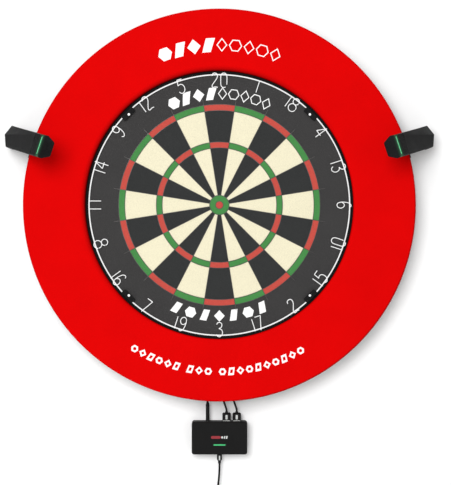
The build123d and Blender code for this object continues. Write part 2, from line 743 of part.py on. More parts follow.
S_HOLLOW = S_CAP - 1.0             # the cap is hollowed from here
CAP_HOLLOW = S_TIP - 2.2 - S_HOLLOW
with BuildPart() as arm_head_cap:
    with BuildSketch(section_plane(S_CAP)) as cap_section:
        head_outline(cap_section)
    extrude(amount=S_TIP - S_CAP)
    # the tip rolls over on the dartboard's side
    with BuildSketch(length_plane) as cap_outline:
        Polygon(
            (S_CAP - 5.0, 0.3), (S_TIP, 0.3), (S_TIP, -23.0), (S_CAP - 5.0, -23.0), align=None
        )
        fillet(cap_outline.vertices().sort_by(Axis.Y)[:2], radius=3.0)
    extrude(amount=40, both=True, mode=Mode.INTERSECT)
    with BuildSketch(section_plane(S_HOLLOW)):
        Polygon(
            (-2.4, 14.6), (-2.4, -15.4), (-19.9, -9.4), (-40.0, -9.4), (-40.0, 9.2), (-19.9, 9.2),
            align=None,
        )
    extrude(amount=CAP_HOLLOW, mode=CUT)
    # room for the back shell's plate
    with BuildSketch(section_plane(S_HOLLOW)):
        Polygon((-20.1, 20.0), (-20.1, -20.0), (-40.0, -20.0), (-40.0, 20.0), align=None)
    extrude(amount=CAP_HOLLOW, mode=CUT)
    # slot for the light strip
    with BuildSketch(section_plane(S_LIGHT - 0.8)):
        Polygon((10.0, 15.1), (10.0, -14.8), (-3.4, -14.8), (-3.4, 15.1), align=None)
    extrude(amount=1.6, mode=CUT)
write_pair(arm_head_cap.part, "arm_head_cap")

with BuildPart() as arm_light:
    with BuildSketch(section_plane(S_LIGHT - 0.7)):
        Polygon(
            (0.4, 14.9), (0.4, -14.6), (-2.6, -14.6), (-6.6, -11.0), (-6.6, 11.0), (-3.2, 14.0),
            (-2.2, 14.9),
            align=None,
        )
    extrude(amount=1.4)
write_pair(arm_light.part, "arm_light")

with BuildPart() as arm_window:
    with BuildSketch(face_plane(S_LENS, -22.9)):
        RectangleRounded(18.2, 15.2, 2.9)
    extrude(amount=1.4)
write_pair(arm_window.part, "arm_window")

# square base and round barrel, with a stepped recess in the end towards the window
LENS_BASE = 3.0
LENS_BARREL = 7.3
N_LENS_END = N_BOARD - LENS_BASE - LENS_BARREL
with BuildPart() as arm_lens:
    with BuildSketch(face_plane(S_LENS, N_BOARD)):
        Rectangle(11.0, 11.0)
    extrude(amount=-LENS_BASE)
    with BuildSketch(face_plane(S_LENS, N_BOARD - LENS_BASE)):
        Circle(5.2)
    extrude(amount=-LENS_BARREL)
    with BuildSketch(face_plane(S_LENS, N_LENS_END)):
        Circle(3.9)
    extrude(amount=0.9, mode=CUT)
    with BuildSketch(face_plane(S_LENS, N_LENS_END + 0.9)):
        Circle(3.0)
    extrude(amount=1.2, mode=CUT)
write_pair(arm_lens.part, "arm_lens")

with BuildPart() as arm_camera_board:
    with BuildSketch(face_plane(S_LENS, N_BOARD)):
        with Locations((2.9, 0)):
            Rectangle(27.0, 20.4)
        with Locations(*[(station - S_LENS, across) for station, across in POSTS]):
            Circle(1.0, mode=CUT)
    extrude(amount=T_CAMERA_BOARD)
    # one square part and three small ones
    with BuildSketch(face_plane(S_LENS, N_BOARD_OUT)):
        with Locations((-2.5, 1.0)):
            Rectangle(7.0, 7.0)
        with Locations((4.2, -3.2), (4.2, 0.0), (4.2, 3.2)):
            Rectangle(2.2, 1.3)
    extrude(amount=1.1)
    # row of light emitters under the light strip
    with BuildSketch(face_plane(S_LIGHT, N_BOARD_OUT)):
        with Locations((0, -8.0), (0, -2.7), (0, 2.7), (0, 8.0)):
            Rectangle(1.4, 2.0)
    extrude(amount=1.4)
write_pair(arm_camera_board.part, "arm_camera_board")

with BuildPart() as arm_screws:
    # through the back shell into the cover
    for station in SCREW_STATIONS:
        with BuildSketch(face_plane(station, -21.9)):
            Circle(2.5)
        extrude(amount=1.9)
        with BuildSketch(face_plane(station, -20.0)):
            Circle(1.2)
        extrude(amount=13.0)
    # through the camera's circuit board into the posts
    for station, across in POSTS:
        with BuildSketch(face_plane(station, -14.0)):
            with Locations((0, across)):
                Circle(0.7)
        extrude(amount=5.1)
        with BuildSketch(face_plane(station, N_BOARD_OUT)):
            with Locations((0, across)):
                Circle(1.5)
        extrude(amount=1.0)
write_pair(arm_screws.part, "arm_screws")


# ========================================= control box ===========================================
def box_corners(inset):
    """Four (x, z) places, inset from the box's corners."""
    return [
        (side * (BOX_W / 2 - inset), BOX_Z + end * (BOX_TALL / 2 - inset))
        for side in (-1, 1)
        for end in (-1, 1)
    ]


BOX_SCREWS = box_corners(6.5)
Z_STATUS = -409.2      # status bar
H_BACK_BOSS = H_BOX_BACK + 1.0     # bosses and standoffs start inside the back wall
STANDOFFS = [(-30.0, BOX_Z + 17.0), (38.0, BOX_Z), (-38.0, BOX_Z), (18.0, BOX_Z - 20.0)]

# openings in the box's edges for the two wide ports, the round port and the power port
with BuildPart() as port_cutter:
    with BuildSketch(level_plane(BOX_TOP + 1)):
        with Locations(*USB_PORTS):
            Rectangle(13.8, 6.4)
        with Locations((X_DC, H_PORT)):
            Circle(2.3)
    extrude(amount=BOX_WALL + 1.5)
    with BuildSketch(level_plane(BOX_BOTTOM + BOX_WALL + 0.5)):
        with Locations((0, H_POWER)):
            RectangleRounded(8.6, 3.8, 1.2)
    extrude(amount=BOX_WALL + 1.5)

with BuildPart() as box_front_shell:
    with BuildSketch(wall_plane(H_PART)):
        with Locations((0, BOX_Z)):
            RectangleRounded(*BOX_OUTER)
    extrude(amount=H_BOX_FRONT - H_PART)
    fillet(box_front_shell.faces().sort_by(Axis.Y)[0].edges(), radius=1.8)
    with BuildSketch(wall_plane(H_PART)):
        with Locations((0, BOX_Z)):
            RectangleRounded(*BOX_INNER)
    extrude(amount=H_BOX_FRONT - H_PART - BOX_WALL, mode=CUT)
    # screw bosses
    with BuildSketch(wall_plane(H_PART)):
        with Locations(*BOX_SCREWS):
            Circle(3.2)
    extrude(amount=H_BOX_FRONT - H_PART - 1.0)
    with BuildSketch(wall_plane(H_PART)):
        with Locations(*BOX_SCREWS):
            Circle(1.3)
    extrude(amount=8.0, mode=CUT)
    # slot for the status bar
    with BuildSketch(wall_plane(H_BOX_FRONT - BOX_WALL - 0.5)):
        with Locations((0, Z_STATUS)):
            RectangleRounded(20.5, 2.4, 0.6)
    extrude(amount=5.0, mode=CUT)
    add(port_cutter.part, mode=CUT)
write(box_front_shell.part, "box_front_shell")

PART_GAP = 0.05        # between the two shells
with BuildPart() as box_back_shell:
    with BuildSketch(wall_plane(H_BOX_BACK)):
        with Locations((0, BOX_Z)):
            RectangleRounded(*BOX_OUTER)
    extrude(amount=H_PART - H_BOX_BACK - PART_GAP)
    with BuildSketch(wall_plane(H_BOX_BACK + BOX_WALL)):
        with Locations((0, BOX_Z)):
            RectangleRounded(*BOX_INNER)
    extrude(amount=20.0, mode=CUT)
    with BuildSketch(wall_plane(H_BACK_BOSS)):
        with Locations(*BOX_SCREWS):
            Circle(4.0)
    extrude(amount=H_PART - H_BACK_BOSS - PART_GAP)
    # standoffs under the circuit board
    with BuildSketch(wall_plane(H_BACK_BOSS)):
        with Locations(*STANDOFFS):
            Circle(2.5)
    extrude(amount=H_PCB - H_BACK_BOSS)
    # counterbored screw holes
    for radius, depth in ((2.7, 4.5), (1.5, 20.0)):
        with BuildSketch(wall_plane(H_BOX_BACK - 1)):
            with Locations(*BOX_SCREWS):
                Circle(radius)
        extrude(amount=depth, mode=CUT)
    # cooling slots in the back
    with BuildSketch(wall_plane(H_BOX_BACK - 1)):
        with Locations(*[(x, BOX_Z - 6.0) for x in range(-12, 13, 4)]):
            SlotOverall(14.0, 1.6, rotation=90)
    extrude(amount=4.0, mode=CUT)
    add(port_cutter.part, mode=CUT)
write(box_back_shell.part, "box_back_shell")

with BuildPart() as box_screws:
    with BuildSketch(wall_plane(1.2)):
        with Locations(*BOX_SCREWS):
            Circle(2.5)
            RegularPolygon(0.9, 6, mode=CUT)
    extrude(amount=2.3)
    with BuildSketch(wall_plane(3.4)):
        with Locations(*BOX_SCREWS):
            Circle(1.2)
    extrude(amount=H_PART + 6.0 - 3.4)
write(box_screws.part, "box_screws")

PROCESSOR_X, PROCESSOR_Z = -2.0, -394.0
ROUND_PARTS = [(-38.0, -402.0), (38.0, -406.0)]
R_ROUND_PART = 3.0
T_CHIP = 1.4
T_SINK_BASE = 1.6
SINK_W = 14.0
with BuildPart() as box_circuit_board:
    with BuildSketch(wall_plane(H_PCB)):
        with Locations((0, BOX_Z)):
            Rectangle(BOX_W - 5.0, BOX_TALL - 5.0)
        with Locations(*BOX_SCREWS):
            Circle(5.0, mode=CUT)
        with Locations(*box_corners(3.0)):
            Rectangle(9.0, 9.0, mode=CUT)
    extrude(amount=T_PCB)
    # processor, two more chips and the feet of the round parts
    with BuildSketch(wall_plane(H_PCB_TOP)):
        with Locations((PROCESSOR_X, PROCESSOR_Z)):
            Rectangle(15.0, 15.0)
        with Locations((-24.0, -396.0)):
            Rectangle(10.0, 12.0)
        with Locations((24.0, -400.0)):
            Rectangle(9.0, 7.0)
        with Locations(*ROUND_PARTS):
            Circle(R_ROUND_PART)
    extrude(amount=T_CHIP)
    # the processor's cooling fins on their base
    with BuildSketch(wall_plane(H_PCB_TOP + T_CHIP)):
        with Locations((PROCESSOR_X, PROCESSOR_Z)):
            Rectangle(SINK_W, SINK_W)
    extrude(amount=T_SINK_BASE)
    with BuildSketch(wall_plane(H_PCB_TOP + T_CHIP + T_SINK_BASE)):
        with Locations(*[(PROCESSOR_X + k, PROCESSOR_Z) for k in (-6, -3, 0, 3, 6)]):
            Rectangle(1.0, SINK_W)
    extrude(amount=5.0)
    with BuildSketch(wall_plane(H_PCB_TOP + T_CHIP)):
        with Locations(*ROUND_PARTS):
            Circle(R_ROUND_PART)
    extrude(amount=4.6)
    # light emitters behind the status bar
    with BuildSketch(wall_plane(H_PCB_TOP)):
        with Locations((-8.0, Z_STATUS), (0.0, Z_STATUS), (8.0, Z_STATUS)):
            Rectangle(2.8, 1.6)
    extrude(amount=1.0)
write(box_circuit_board.part, "box_circuit_board")

with BuildPart() as box_sockets:
    # two wide ports: sleeve, closed end, tongue
    with BuildSketch(level_plane(BOX_TOP - 0.3)):
        with Locations(*USB_PORTS):
            Rectangle(13.3, 5.9)
            Rectangle(12.5, 5.1, mode=CUT)
    extrude(amount=14.0)
    with BuildSketch(level_plane(BOX_TOP - 13.3)):
        with Locations(*USB_PORTS):
            Rectangle(12.9, 5.5)
    extrude(amount=1.0)
    with BuildSketch(level_plane(BOX_TOP - 2.0)):
        with Locations(*[(x, height - 0.9) for x, height in USB_PORTS]):
            Rectangle(10.6, 1.4)
    extrude(amount=11.5)
    # round port
    with BuildSketch(level_plane(BOX_TOP - BOX_WALL - 0.1)):
        with Locations((X_DC, H_PORT)):
            Rectangle(8.0, 5.9)
        with Locations((X_DC, H_PORT)):
            Circle(1.9, mode=CUT)
    extrude(amount=12.0)
    # power port: sleeve and closed end
    with BuildSketch(level_plane(BOX_BOTTOM + 8.0)):
        with Locations((0, H_POWER)):
            Rectangle(8.0, 2.7)
            Rectangle(7.2, 2.1, mode=CUT)
    extrude(amount=7.6)
    with BuildSketch(level_plane(BOX_BOTTOM + 8.4)):
        with Locations((0, H_POWER)):
            Rectangle(8.0, 2.7)
    extrude(amount=0.6)
write(box_sockets.part, "box_sockets")

# status bar with a flange inside the front wall
with BuildPart() as box_light_pipe:
    for height, outline, length in (
        (22.4, (25.0, 5.0, 0.8), 1.5),
        (11.2, (20.2, 2.1, 0.5), 15.1),
    ):
        with BuildSketch(wall_plane(height)):
            with Locations((0, Z_STATUS)):
                RectangleRounded(*outline)
        extrude(amount=length)
write(box_light_pipe.part, "box_light_pipe")

with BuildPart() as box_tape:
    with BuildSketch(wall_plane(0)):
        with Locations((-28.0, BOX_Z), (28.0, BOX_Z)):
            RectangleRounded(20.0, 36.0, 1.5)
    extrude(amount=H_BOX_BACK)
write(box_tape.part, "box_tape")

# ========================================= plugs =================================================
USB_GRIP_Z = BOX_TOP + 1.6     # lower end of the wide plugs' grips
USB_GRIP_LENGTH = 12.6
X_SUPPLY, Z_SUPPLY, H_SUPPLY = -5.0, -548.0, 9.0   # end of the power lead
SUPPLY_GRIP_Z = Z_SUPPLY - 0.05
SUPPLY_GRIP_LENGTH = 20.0
SUPPLY_SHELL_Z = SUPPLY_GRIP_Z - SUPPLY_GRIP_LENGTH


def usb_grip(x):
    with BuildPart() as grip:
        with BuildSketch(level_plane(USB_GRIP_Z + USB_GRIP_LENGTH)):
            with Locations((x, H_PORT)):
                RectangleRounded(14.4, 8.0, 2.0)
        extrude(amount=USB_GRIP_LENGTH)
        chamfer(grip.faces().sort_by(Axis.Z)[-1].edges(), length=1.6)
        # collar round the lead
        with BuildSketch(level_plane(USB_GRIP_Z + USB_GRIP_LENGTH + 2.0)):
            with Locations((x, H_PORT)):
                Circle(2.6)
        extrude(amount=4.0)
        with BuildSketch(level_plane(USB_GRIP_Z + 30.0)):
            with Locations((x, H_PORT)):
                Circle(R_LEAD + LEAD_FIT)
        extrude(amount=22.0, mode=CUT)
    return grip.part


def usb_shell(x, height, top, length, tongue_thickness, tongue_length):
    """Downward metal sleeve from top, closed at the grip, with an off-centre tongue inside."""
    with BuildPart() as shell:
        with BuildSketch(level_plane(top)):
            with Locations((x, height)):
                Rectangle(12.0, 4.6)
                Rectangle(11.2, 3.8, mode=CUT)
        extrude(amount=length)
        with BuildSketch(level_plane(top)):
            with Locations((x, height)):
                Rectangle(11.8, 4.4)
        extrude(amount=1.0)
        with BuildSketch(level_plane(top - 0.5)):
            with Locations((x, height + 1.0)):
                Rectangle(11.2, tongue_thickness)
        extrude(amount=tongue_length)
    return shell.part


for x, side in ((X_USB_LEFT, "left"), (X_USB_RIGHT, "right")):
    write(usb_grip(x), f"usb_plug_{side}_grip")
    shell = usb_shell(
        x, H_PORT, USB_GRIP_Z, length=12.4, tongue_thickness=1.4, tongue_length=11.0
    )
    write(shell, f"usb_plug_{side}_shell")

DC_GRIP_TOP = BOX_TOP + 28.0
with BuildPart() as dc_plug_grip:
    with BuildSketch(level_plane(DC_GRIP_TOP)):
        with Locations((X_DC, H_PORT)):
            Circle(3.2)
    extrude(amount=27.6)
    # tapered end
    with BuildSketch(level_plane(DC_GRIP_TOP)):
        with Locations((X_DC, H_PORT)):
            Circle(3.0)
    with BuildSketch(level_plane(DC_GRIP_TOP + 3.5)):
        with Locations((X_DC, H_PORT)):
            Circle(2.4)
    loft()
    with BuildSketch(level_plane(BOX_TOP + 32.0)):
        with Locations((X_DC, H_PORT)):
            Circle(R_DC_LEAD + LEAD_FIT)
    extrude(amount=24.0, mode=CUT)
write(dc_plug_grip.part, "dc_plug_grip")

with BuildPart() as dc_plug_barrel:
    with BuildSketch(level_plane(BOX_TOP + 0.4)):
        with Locations((X_DC, H_PORT)):
            Circle(1.75)
    extrude(amount=10.5)
    with BuildSketch(level_plane(BOX_TOP - 2.0)):
        with Locations((X_DC, H_PORT)):
            Circle(0.7)
    extrude(amount=9.0, mode=CUT)
write(dc_plug_barrel.part, "dc_plug_barrel")

with BuildPart() as power_plug_grip:
    with BuildSketch(level_plane(BOX_BOTTOM - 0.8)):
        with Locations((0, H_POWER)):
            RectangleRounded(8.8, 5.6, 1.6)
    extrude(amount=11.0)
    chamfer(power_plug_grip.faces().sort_by(Axis.Z)[0].edges(), length=1.2)
    with BuildSketch(level_plane(BOX_BOTTOM - 11.0)):
        with Locations((0, H_POWER)):
            Circle(2.5)
    extrude(amount=6.0)
    with BuildSketch(level_plane(BOX_BOTTOM - 7.0)):
        with Locations((0, H_POWER)):
            Circle(R_LEAD + LEAD_FIT)
    extrude(amount=12.0, mode=CUT)
write(power_plug_grip.part, "power_plug_grip")

with BuildPart() as power_plug_shell:
    with BuildSketch(level_plane(BOX_BOTTOM + 6.0)):
        with Locations((0, H_POWER)):
            RectangleRounded(6.8, 1.8, 0.4)
            RectangleRounded(6.2, 1.2, 0.2, mode=CUT)
    extrude(amount=6.8)
write(power_plug_shell.part, "power_plug_shell")

with BuildPart() as supply_plug_grip:
    with BuildSketch(level_plane(Z_SUPPLY + 5.0)):
        with Locations((X_SUPPLY, H_SUPPLY)):
            annulus(2.5, R_LEAD + LEAD_FIT)
    extrude(amount=5.05)
    with BuildSketch(level_plane(SUPPLY_GRIP_Z)):
        with Locations((X_SUPPLY, H_SUPPLY)):
            RectangleRounded(15.0, 8.0, 2.0)
    extrude(amount=SUPPLY_GRIP_LENGTH)
write(supply_plug_grip.part, "supply_plug_grip")

supply_shell = usb_shell(
    X_SUPPLY, H_SUPPLY, SUPPLY_SHELL_Z, length=12.0, tongue_thickness=1.6, tongue_length=10.5
)
write(supply_shell, "supply_plug_shell")

# ========================================= leads =================================================
R_LEAD_END = 297.5     # the leads end inside the arm sockets' openings
Z_FAN = -250.0         # the leads leave the comb's lines here


def lead(places, radius, first=16.0, bend=16.0):
    """Round lead along straight runs between (x, z, height) places.

    Each corner is eased by a smooth bend that starts first (at the first corner) or bend before it.
    """
    points = [Vector(x, -height, z) for x, z, height in places]
    with BuildPart() as wire:
        with BuildLine():
            at = points[0]
            for k, (corner, after) in enumerate(zip(points[1:-1], points[2:])):
                ease = min(
                    bend if k else first,
                    (corner - at).length * 0.98,
                    (after - corner).length * 0.49,
                )
                before = corner + (at - corner).normalized() * ease
                beyond = corner + (after - corner).normalized() * ease
                Line(at, before)
                Bezier(before, corner, beyond)
                at = beyond
            Line(at, points[-1])
        with BuildSketch(Plane(origin=points[0], z_dir=points[1] - points[0])):
            Circle(radius)
        sweep()
    return wire.part


def arm_lead(x_port, z_start, z_straight, comb, spread, angle, turn_radius, drop, across,
             radius, first):
    """Lead from a top port through the comb to the arm socket on the leg at angle.

    comb and spread are (x, z) corners before and after the comb. The lead meets the leg at
    turn_radius from drop below, and runs out along it, offset across.
    """
    x_turn, z_turn = on_leg(turn_radius, across, angle)
    x_end, z_end = on_leg(R_LEAD_END, across, angle)
    places = [
        (x_port, z_start, H_PORT),
        (x_port, z_straight, H_PORT),
        (*comb, H_LEAD),
        (comb[0], Z_FAN, H_LEAD),
        (*spread, H_LEAD),
        (x_turn, z_turn - drop, H_LEAD),
        (x_turn, z_turn, H_LEAD),
        (x_end, z_end, H_LEAD),
    ]
    return lead(places, radius, first)


RIGHT_ANGLE, LEFT_ANGLE = SIDE_ANGLES
usb_lead_left = arm_lead(
    X_USB_LEFT, USB_GRIP_Z + 9.0, z_straight=-350.0, comb=(X_COMB_LEFT, -316.0),
    spread=(-60.0, -190.0), angle=LEFT_ANGLE, turn_radius=262, drop=60, across=-3.2,
    radius=R_LEAD, first=3.0,
)
write(usb_lead_left, "usb_lead_left")

usb_lead_right = arm_lead(
    X_USB_RIGHT, USB_GRIP_Z + 9.0, z_straight=-350.0, comb=(X_COMB_RIGHT, -316.0),
    spread=(72.0, -190.0), angle=RIGHT_ANGLE, turn_radius=262, drop=60, across=0,
    radius=R_LEAD, first=3.0,
)
write(usb_lead_right, "usb_lead_right")

dc_lead = arm_lead(
    X_DC, BOX_TOP + 9.0, z_straight=-331.0, comb=(X_COMB_DC, -305.0),
    spread=(-76.0, -196.0), angle=LEFT_ANGLE, turn_radius=270, drop=66, across=3.4,
    radius=R_DC_LEAD, first=5.0,
)
write(dc_lead, "dc_lead")

power_places = [
    (0, BOX_BOTTOM - 8.0, H_POWER),
    (0, BOX_BOTTOM - 32.0, H_POWER),
    (X_SUPPLY, -505, H_SUPPLY),
    (X_SUPPLY, Z_SUPPLY, H_SUPPLY),
]
write(lead(power_places, R_LEAD, first=14.0, bend=14.0), "power_lead")
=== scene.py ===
import json
import math
import random

import bmesh
import bpy
from mathutils import Matrix, Vector
from mathutils.geometry import delaunay_2d_cdt


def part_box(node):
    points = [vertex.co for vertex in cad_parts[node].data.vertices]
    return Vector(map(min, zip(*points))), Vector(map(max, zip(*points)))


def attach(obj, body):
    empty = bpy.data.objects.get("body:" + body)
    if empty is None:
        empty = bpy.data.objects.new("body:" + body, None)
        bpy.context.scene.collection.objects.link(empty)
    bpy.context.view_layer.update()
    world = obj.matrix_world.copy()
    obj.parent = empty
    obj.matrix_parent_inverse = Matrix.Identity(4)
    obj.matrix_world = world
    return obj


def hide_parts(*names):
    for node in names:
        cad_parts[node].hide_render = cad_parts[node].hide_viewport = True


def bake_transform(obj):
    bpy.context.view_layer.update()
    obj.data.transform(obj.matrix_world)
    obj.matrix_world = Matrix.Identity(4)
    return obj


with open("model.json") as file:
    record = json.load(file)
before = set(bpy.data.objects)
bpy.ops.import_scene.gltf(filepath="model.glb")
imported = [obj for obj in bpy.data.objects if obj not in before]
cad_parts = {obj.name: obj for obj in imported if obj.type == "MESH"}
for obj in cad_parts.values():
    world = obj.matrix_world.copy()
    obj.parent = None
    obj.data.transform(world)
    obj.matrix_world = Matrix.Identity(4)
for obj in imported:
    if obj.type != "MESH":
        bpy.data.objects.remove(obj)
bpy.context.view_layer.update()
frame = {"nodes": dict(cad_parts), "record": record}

random.seed(7)
MM = 0.001
COLL = bpy.context.scene.collection


def srgb(r, g, b):
    out = []
    for v in (r, g, b):
        v /= 255
        out.append(v / 12.92 if v <= 0.04045 else ((v + 0.055) / 1.055) ** 2.4)
    return (*out, 1.0)


def mul(c, k):
    return (min(1, c[0] * k), min(1, c[1] * k), min(1, c[2] * k), 1.0)


# ------------------------------------------------------------------------------------------------ materials
class Nodes:
    """Small helper for building a node tree."""

    def __init__(self, name):
        self.m = bpy.data.materials.new(name)
        self.m.use_nodes = True
        self.t = self.m.node_tree
        self.t.nodes.clear()
        self.out = self.t.nodes.new("ShaderNodeOutputMaterial")
        self.co = self.t.nodes.new("ShaderNodeTexCoord").outputs["Object"]

    def n(self, kind, **kw):
        node = self.t.nodes.new(kind)
        for k, v in kw.items():
            if hasattr(node, k):
                setattr(node, k, v)
        return node

    def link(self, a, b):
        self.t.links.new(a, b)

    def mapped(self, scale, rot=(0, 0, 0)):
        m = self.n("ShaderNodeMapping")
        self.link(self.co, m.inputs["Vector"])
        m.inputs["Scale"].default_value = scale if isinstance(scale, tuple) else (scale,) * 3
        m.inputs["Rotation"].default_value = rot
        return m.outputs["Vector"]

    def noise(self, scale, detail=4.0, rough=0.55, vec=None, distort=0.0):
        n = self.n("ShaderNodeTexNoise")
        self.link(vec or self.co, n.inputs["Vector"])
        n.inputs["Scale"].default_value = scale
        n.inputs["Detail"].default_value = detail
        n.inputs["Roughness"].default_value = rough
        n.inputs["Distortion"].default_value = distort
        return n.outputs["Fac"]

    def voronoi(self, scale, feature="F1", out="Distance", vec=None, rand=1.0):
        n = self.n("ShaderNodeTexVoronoi", feature=feature)
        self.link(vec or self.co, n.inputs["Vector"])
        n.inputs["Scale"].default_value = scale
        n.inputs["Randomness"].default_value = rand
        return n.outputs[out]

    def ramp(self, fac, *stops):
        n = self.n("ShaderNodeValToRGB")
        self.link(fac, n.inputs["Fac"])
        e = n.color_ramp.elements
        while len(e) < len(stops):
            e.new(0.5)
        for el, (pos, col) in zip(e, stops):
            el.position = pos
            el.color = col if not isinstance(col, (int, float)) else (col, col, col, 1)
        return n.outputs["Color"]

    def rng(self, fac, a, b, lo=0.0, hi=1.0):
        n = self.n("ShaderNodeMapRange")
        self.link(fac, n.inputs["Value"])
        n.inputs["From Min"].default_value = lo
        n.inputs["From Max"].default_value = hi
        n.inputs["To Min"].default_value = a
        n.inputs["To Max"].default_value = b
        return n.outputs["Result"]

    def mix(self, fac, a, b, mode="MIX"):
        n = self.n("ShaderNodeMix", data_type="RGBA", blend_type=mode)
        if isinstance(fac, (int, float)):
            n.inputs[0].default_value = fac
        else:
            self.link(fac, n.inputs[0])
        for sock, v in ((n.inputs[6], a), (n.inputs[7], b)):
            if isinstance(v, tuple):
                sock.default_value = v
            else:
                self.link(v, sock)
        return n.outputs[2]

    def math(self, op, a, b=None):
        n = self.n("ShaderNodeMath", operation=op)
        for i, v in enumerate((a, b)):
            if v is None:
                continue
            if isinstance(v, (int, float)):
                n.inputs[i].default_value = v
            else:
                self.link(v, n.inputs[i])
        return n.outputs[0]

    def bounced(self):
        """1 for light that has already bounced off another surface, 0 for what the camera sees."""
        return self.n("ShaderNodeLightPath").outputs["Is Diffuse Ray"]

    def edge(self, radius, lo=0.0, hi=0.25):
        """Bright where two faces meet within radius: for worn or rubbed edges, and on the foam for painted shade along
        its rounded edges.
        """
        b = self.n("ShaderNodeBevel", samples=4)
        b.inputs["Radius"].default_value = radius
        g = self.n("ShaderNodeNewGeometry")
        d = self.n("ShaderNodeVectorMath", operation="DOT_PRODUCT")
        self.link(b.outputs["Normal"], d.inputs[0])
        self.link(g.outputs["Normal"], d.inputs[1])
        inv = self.math("SUBTRACT", 1.0, d.outputs["Value"])
        return self.rng(inv, 0.0, 1.0, lo, hi)

    def bump(self, height, dist, strength=1.0, normal=None):
        b = self.n("ShaderNodeBump")
        self.link(height, b.inputs["Height"])
        b.inputs["Distance"].default_value = dist
        b.inputs["Strength"].default_value = strength
        if normal:
            self.link(normal, b.inputs["Normal"])
        return b.outputs["Normal"]

    def bsdf(self, **kw):
        p = self.n("ShaderNodeBsdfPrincipled")
        names = {"base": "Base Color", "rough": "Roughness", "metal": "Metallic", "normal": "Normal", "spec": "Specular IOR Level", "coat": "Coat Weight",
                 "coat_rough": "Coat Roughness", "sheen": "Sheen Weight", "emit": "Emission Color", "emit_strength": "Emission Strength", "trans": "Transmission Weight",
                 "ior": "IOR", "alpha": "Alpha", "aniso": "Anisotropic", "sss": "Subsurface Weight"}
        for k, v in kw.items():
            s = p.inputs[names[k]]
            if isinstance(v, (int, float)):
                s.default_value = v
            elif isinstance(v, tuple):
                s.default_value = v
            else:
                self.link(v, s)
        self.link(p.outputs[0], self.out.inputs["Surface"])
        return p


def sisal(name, col, contrast=0.16, rim=None):
    """Pressed fibre seen end on: fine packed cells, clumps and a slow drift of dye."""
    n = Nodes(name)
    flat = n.mapped((1.0, 0.08, 1.0))
    cells = n.voronoi(1500, vec=flat)
    tone = n.voronoi(1500, out="Color", vec=flat)
    clump = n.noise(420, 5, 0.65, flat)
    drift = n.noise(22, 3, 0.5)
    grain = n.n("ShaderNodeSeparateColor")
    n.link(tone, grain.inputs[0])
    a = n.mix(n.rng(grain.outputs[0], 0, 1), mul(col, 1 - contrast), mul(col, 1 + contrast))
    b = n.mix(n.rng(clump, 0, 1, 0.3, 0.7), mul(col, 1 - contrast * 0.9), mul(col, 1 + contrast * 0.7))
    c = n.mix(0.5, a, b)
    c = n.mix(n.rng(drift, 0.0, 0.55, 0.3, 0.75), c, mul(col, 1 + contrast * 0.55))
    dark = n.mix(n.rng(cells, 0, 0.28, 0.35, 0.8), c, mul(col, 0.45))
    h = n.math("ADD", n.math("MULTIPLY", cells, -0.6), n.math("MULTIPLY", clump, 1.2))
    if rim:
        # painted shade: near the steel band, under the surround's inner lip, the fibre is painted darker
        xyz = n.n("ShaderNodeSeparateXYZ")
        n.link(n.co, xyz.inputs[0])
        r = n.math("SQRT", n.math("ADD", n.math("POWER", xyz.outputs["X"], 2.0), n.math("POWER", xyz.outputs["Z"], 2.0)))
        dark = n.mix(n.rng(r, 0.0, 0.8, rim, rim + 0.0016), dark, mul(col, 0.22))
    n.bsdf(base=dark, rough=n.rng(clump, 0.78, 0.98), spec=0.15, normal=n.bump(h, 0.00035, 0.75), sheen=0.04)
    return n.m


def foam(name, col):
    """Smooth moulded closed-cell foam: almost even colour, tiny pores and a faint mottle, with painted shade on its
    rounded edges and at the opening.
    """
    n = Nodes(name)
    mottle = n.noise(14, 4, 0.6)
    fine = n.noise(900, 3, 0.6)
    pores = n.voronoi(1300)
    base = n.mix(n.rng(mottle, 0, 1, 0.3, 0.7), mul(col, 0.955), mul(col, 1.03))
    base = n.mix(n.rng(fine, 0, 0.22, 0.35, 0.75), base, mul(col, 0.9))
    # painted shade: the foam is darker along its rounded edges
    base = n.mix(n.math("MULTIPLY", n.edge(0.004, 0.0, 0.5), 0.25), base, mul(col, 0.8))
    h = n.math("ADD", n.math("MULTIPLY", n.rng(pores, 0, 1, 0.0, 0.25), 1.0), n.math("MULTIPLY", fine, 0.5))
    h2 = n.noise(60, 3, 0.5)
    nrm = n.bump(h2, 0.0006, 0.25)
    # painted shade: the rolled edge is darkened on the side turned from the light
    g = n.n("ShaderNodeNewGeometry")
    turned = n.n("ShaderNodeVectorMath", operation="DOT_PRODUCT")
    n.link(g.outputs["Normal"], turned.inputs[0])
    turned.inputs[1].default_value = (0.78, 0.0, -0.62)
    base = n.mix(n.rng(turned.outputs["Value"], 0.0, 0.75, 0.25, 0.95), base, mul(col, 0.2))
    # painted shade: the red is darkened near the inner opening on its upper-left side
    xyz = n.n("ShaderNodeSeparateXYZ")
    n.link(n.co, xyz.inputs[0])
    r = n.math("SQRT", n.math("ADD", n.math("POWER", xyz.outputs["X"], 2.0), n.math("POWER", xyz.outputs["Z"], 2.0)))
    upper_left = n.math("DIVIDE", n.math("ADD", n.math("MULTIPLY", xyz.outputs["X"], -0.72), n.math("MULTIPLY", xyz.outputs["Z"], 0.69)), r)
    painted_opening_shade = n.math("POWER", n.rng(r, 1.0, 0.0, 0.2262, 0.2366), 1.5)
    base = n.mix(n.math("MULTIPLY", painted_opening_shade, n.rng(upper_left, 0.0, 0.80, -0.35, 0.75)), base, mul(col, 0.06))
    # faked light colour: for bounced light the foam is a dull grey, so it throws no red light onto the wall
    base = n.mix(n.bounced(), base, (0.30, 0.24, 0.24, 1))
    n.bsdf(base=base, rough=n.rng(fine, 0.72, 0.88), spec=0.03, normal=n.bump(h, 0.00012, 0.5, nrm))
    return n.m


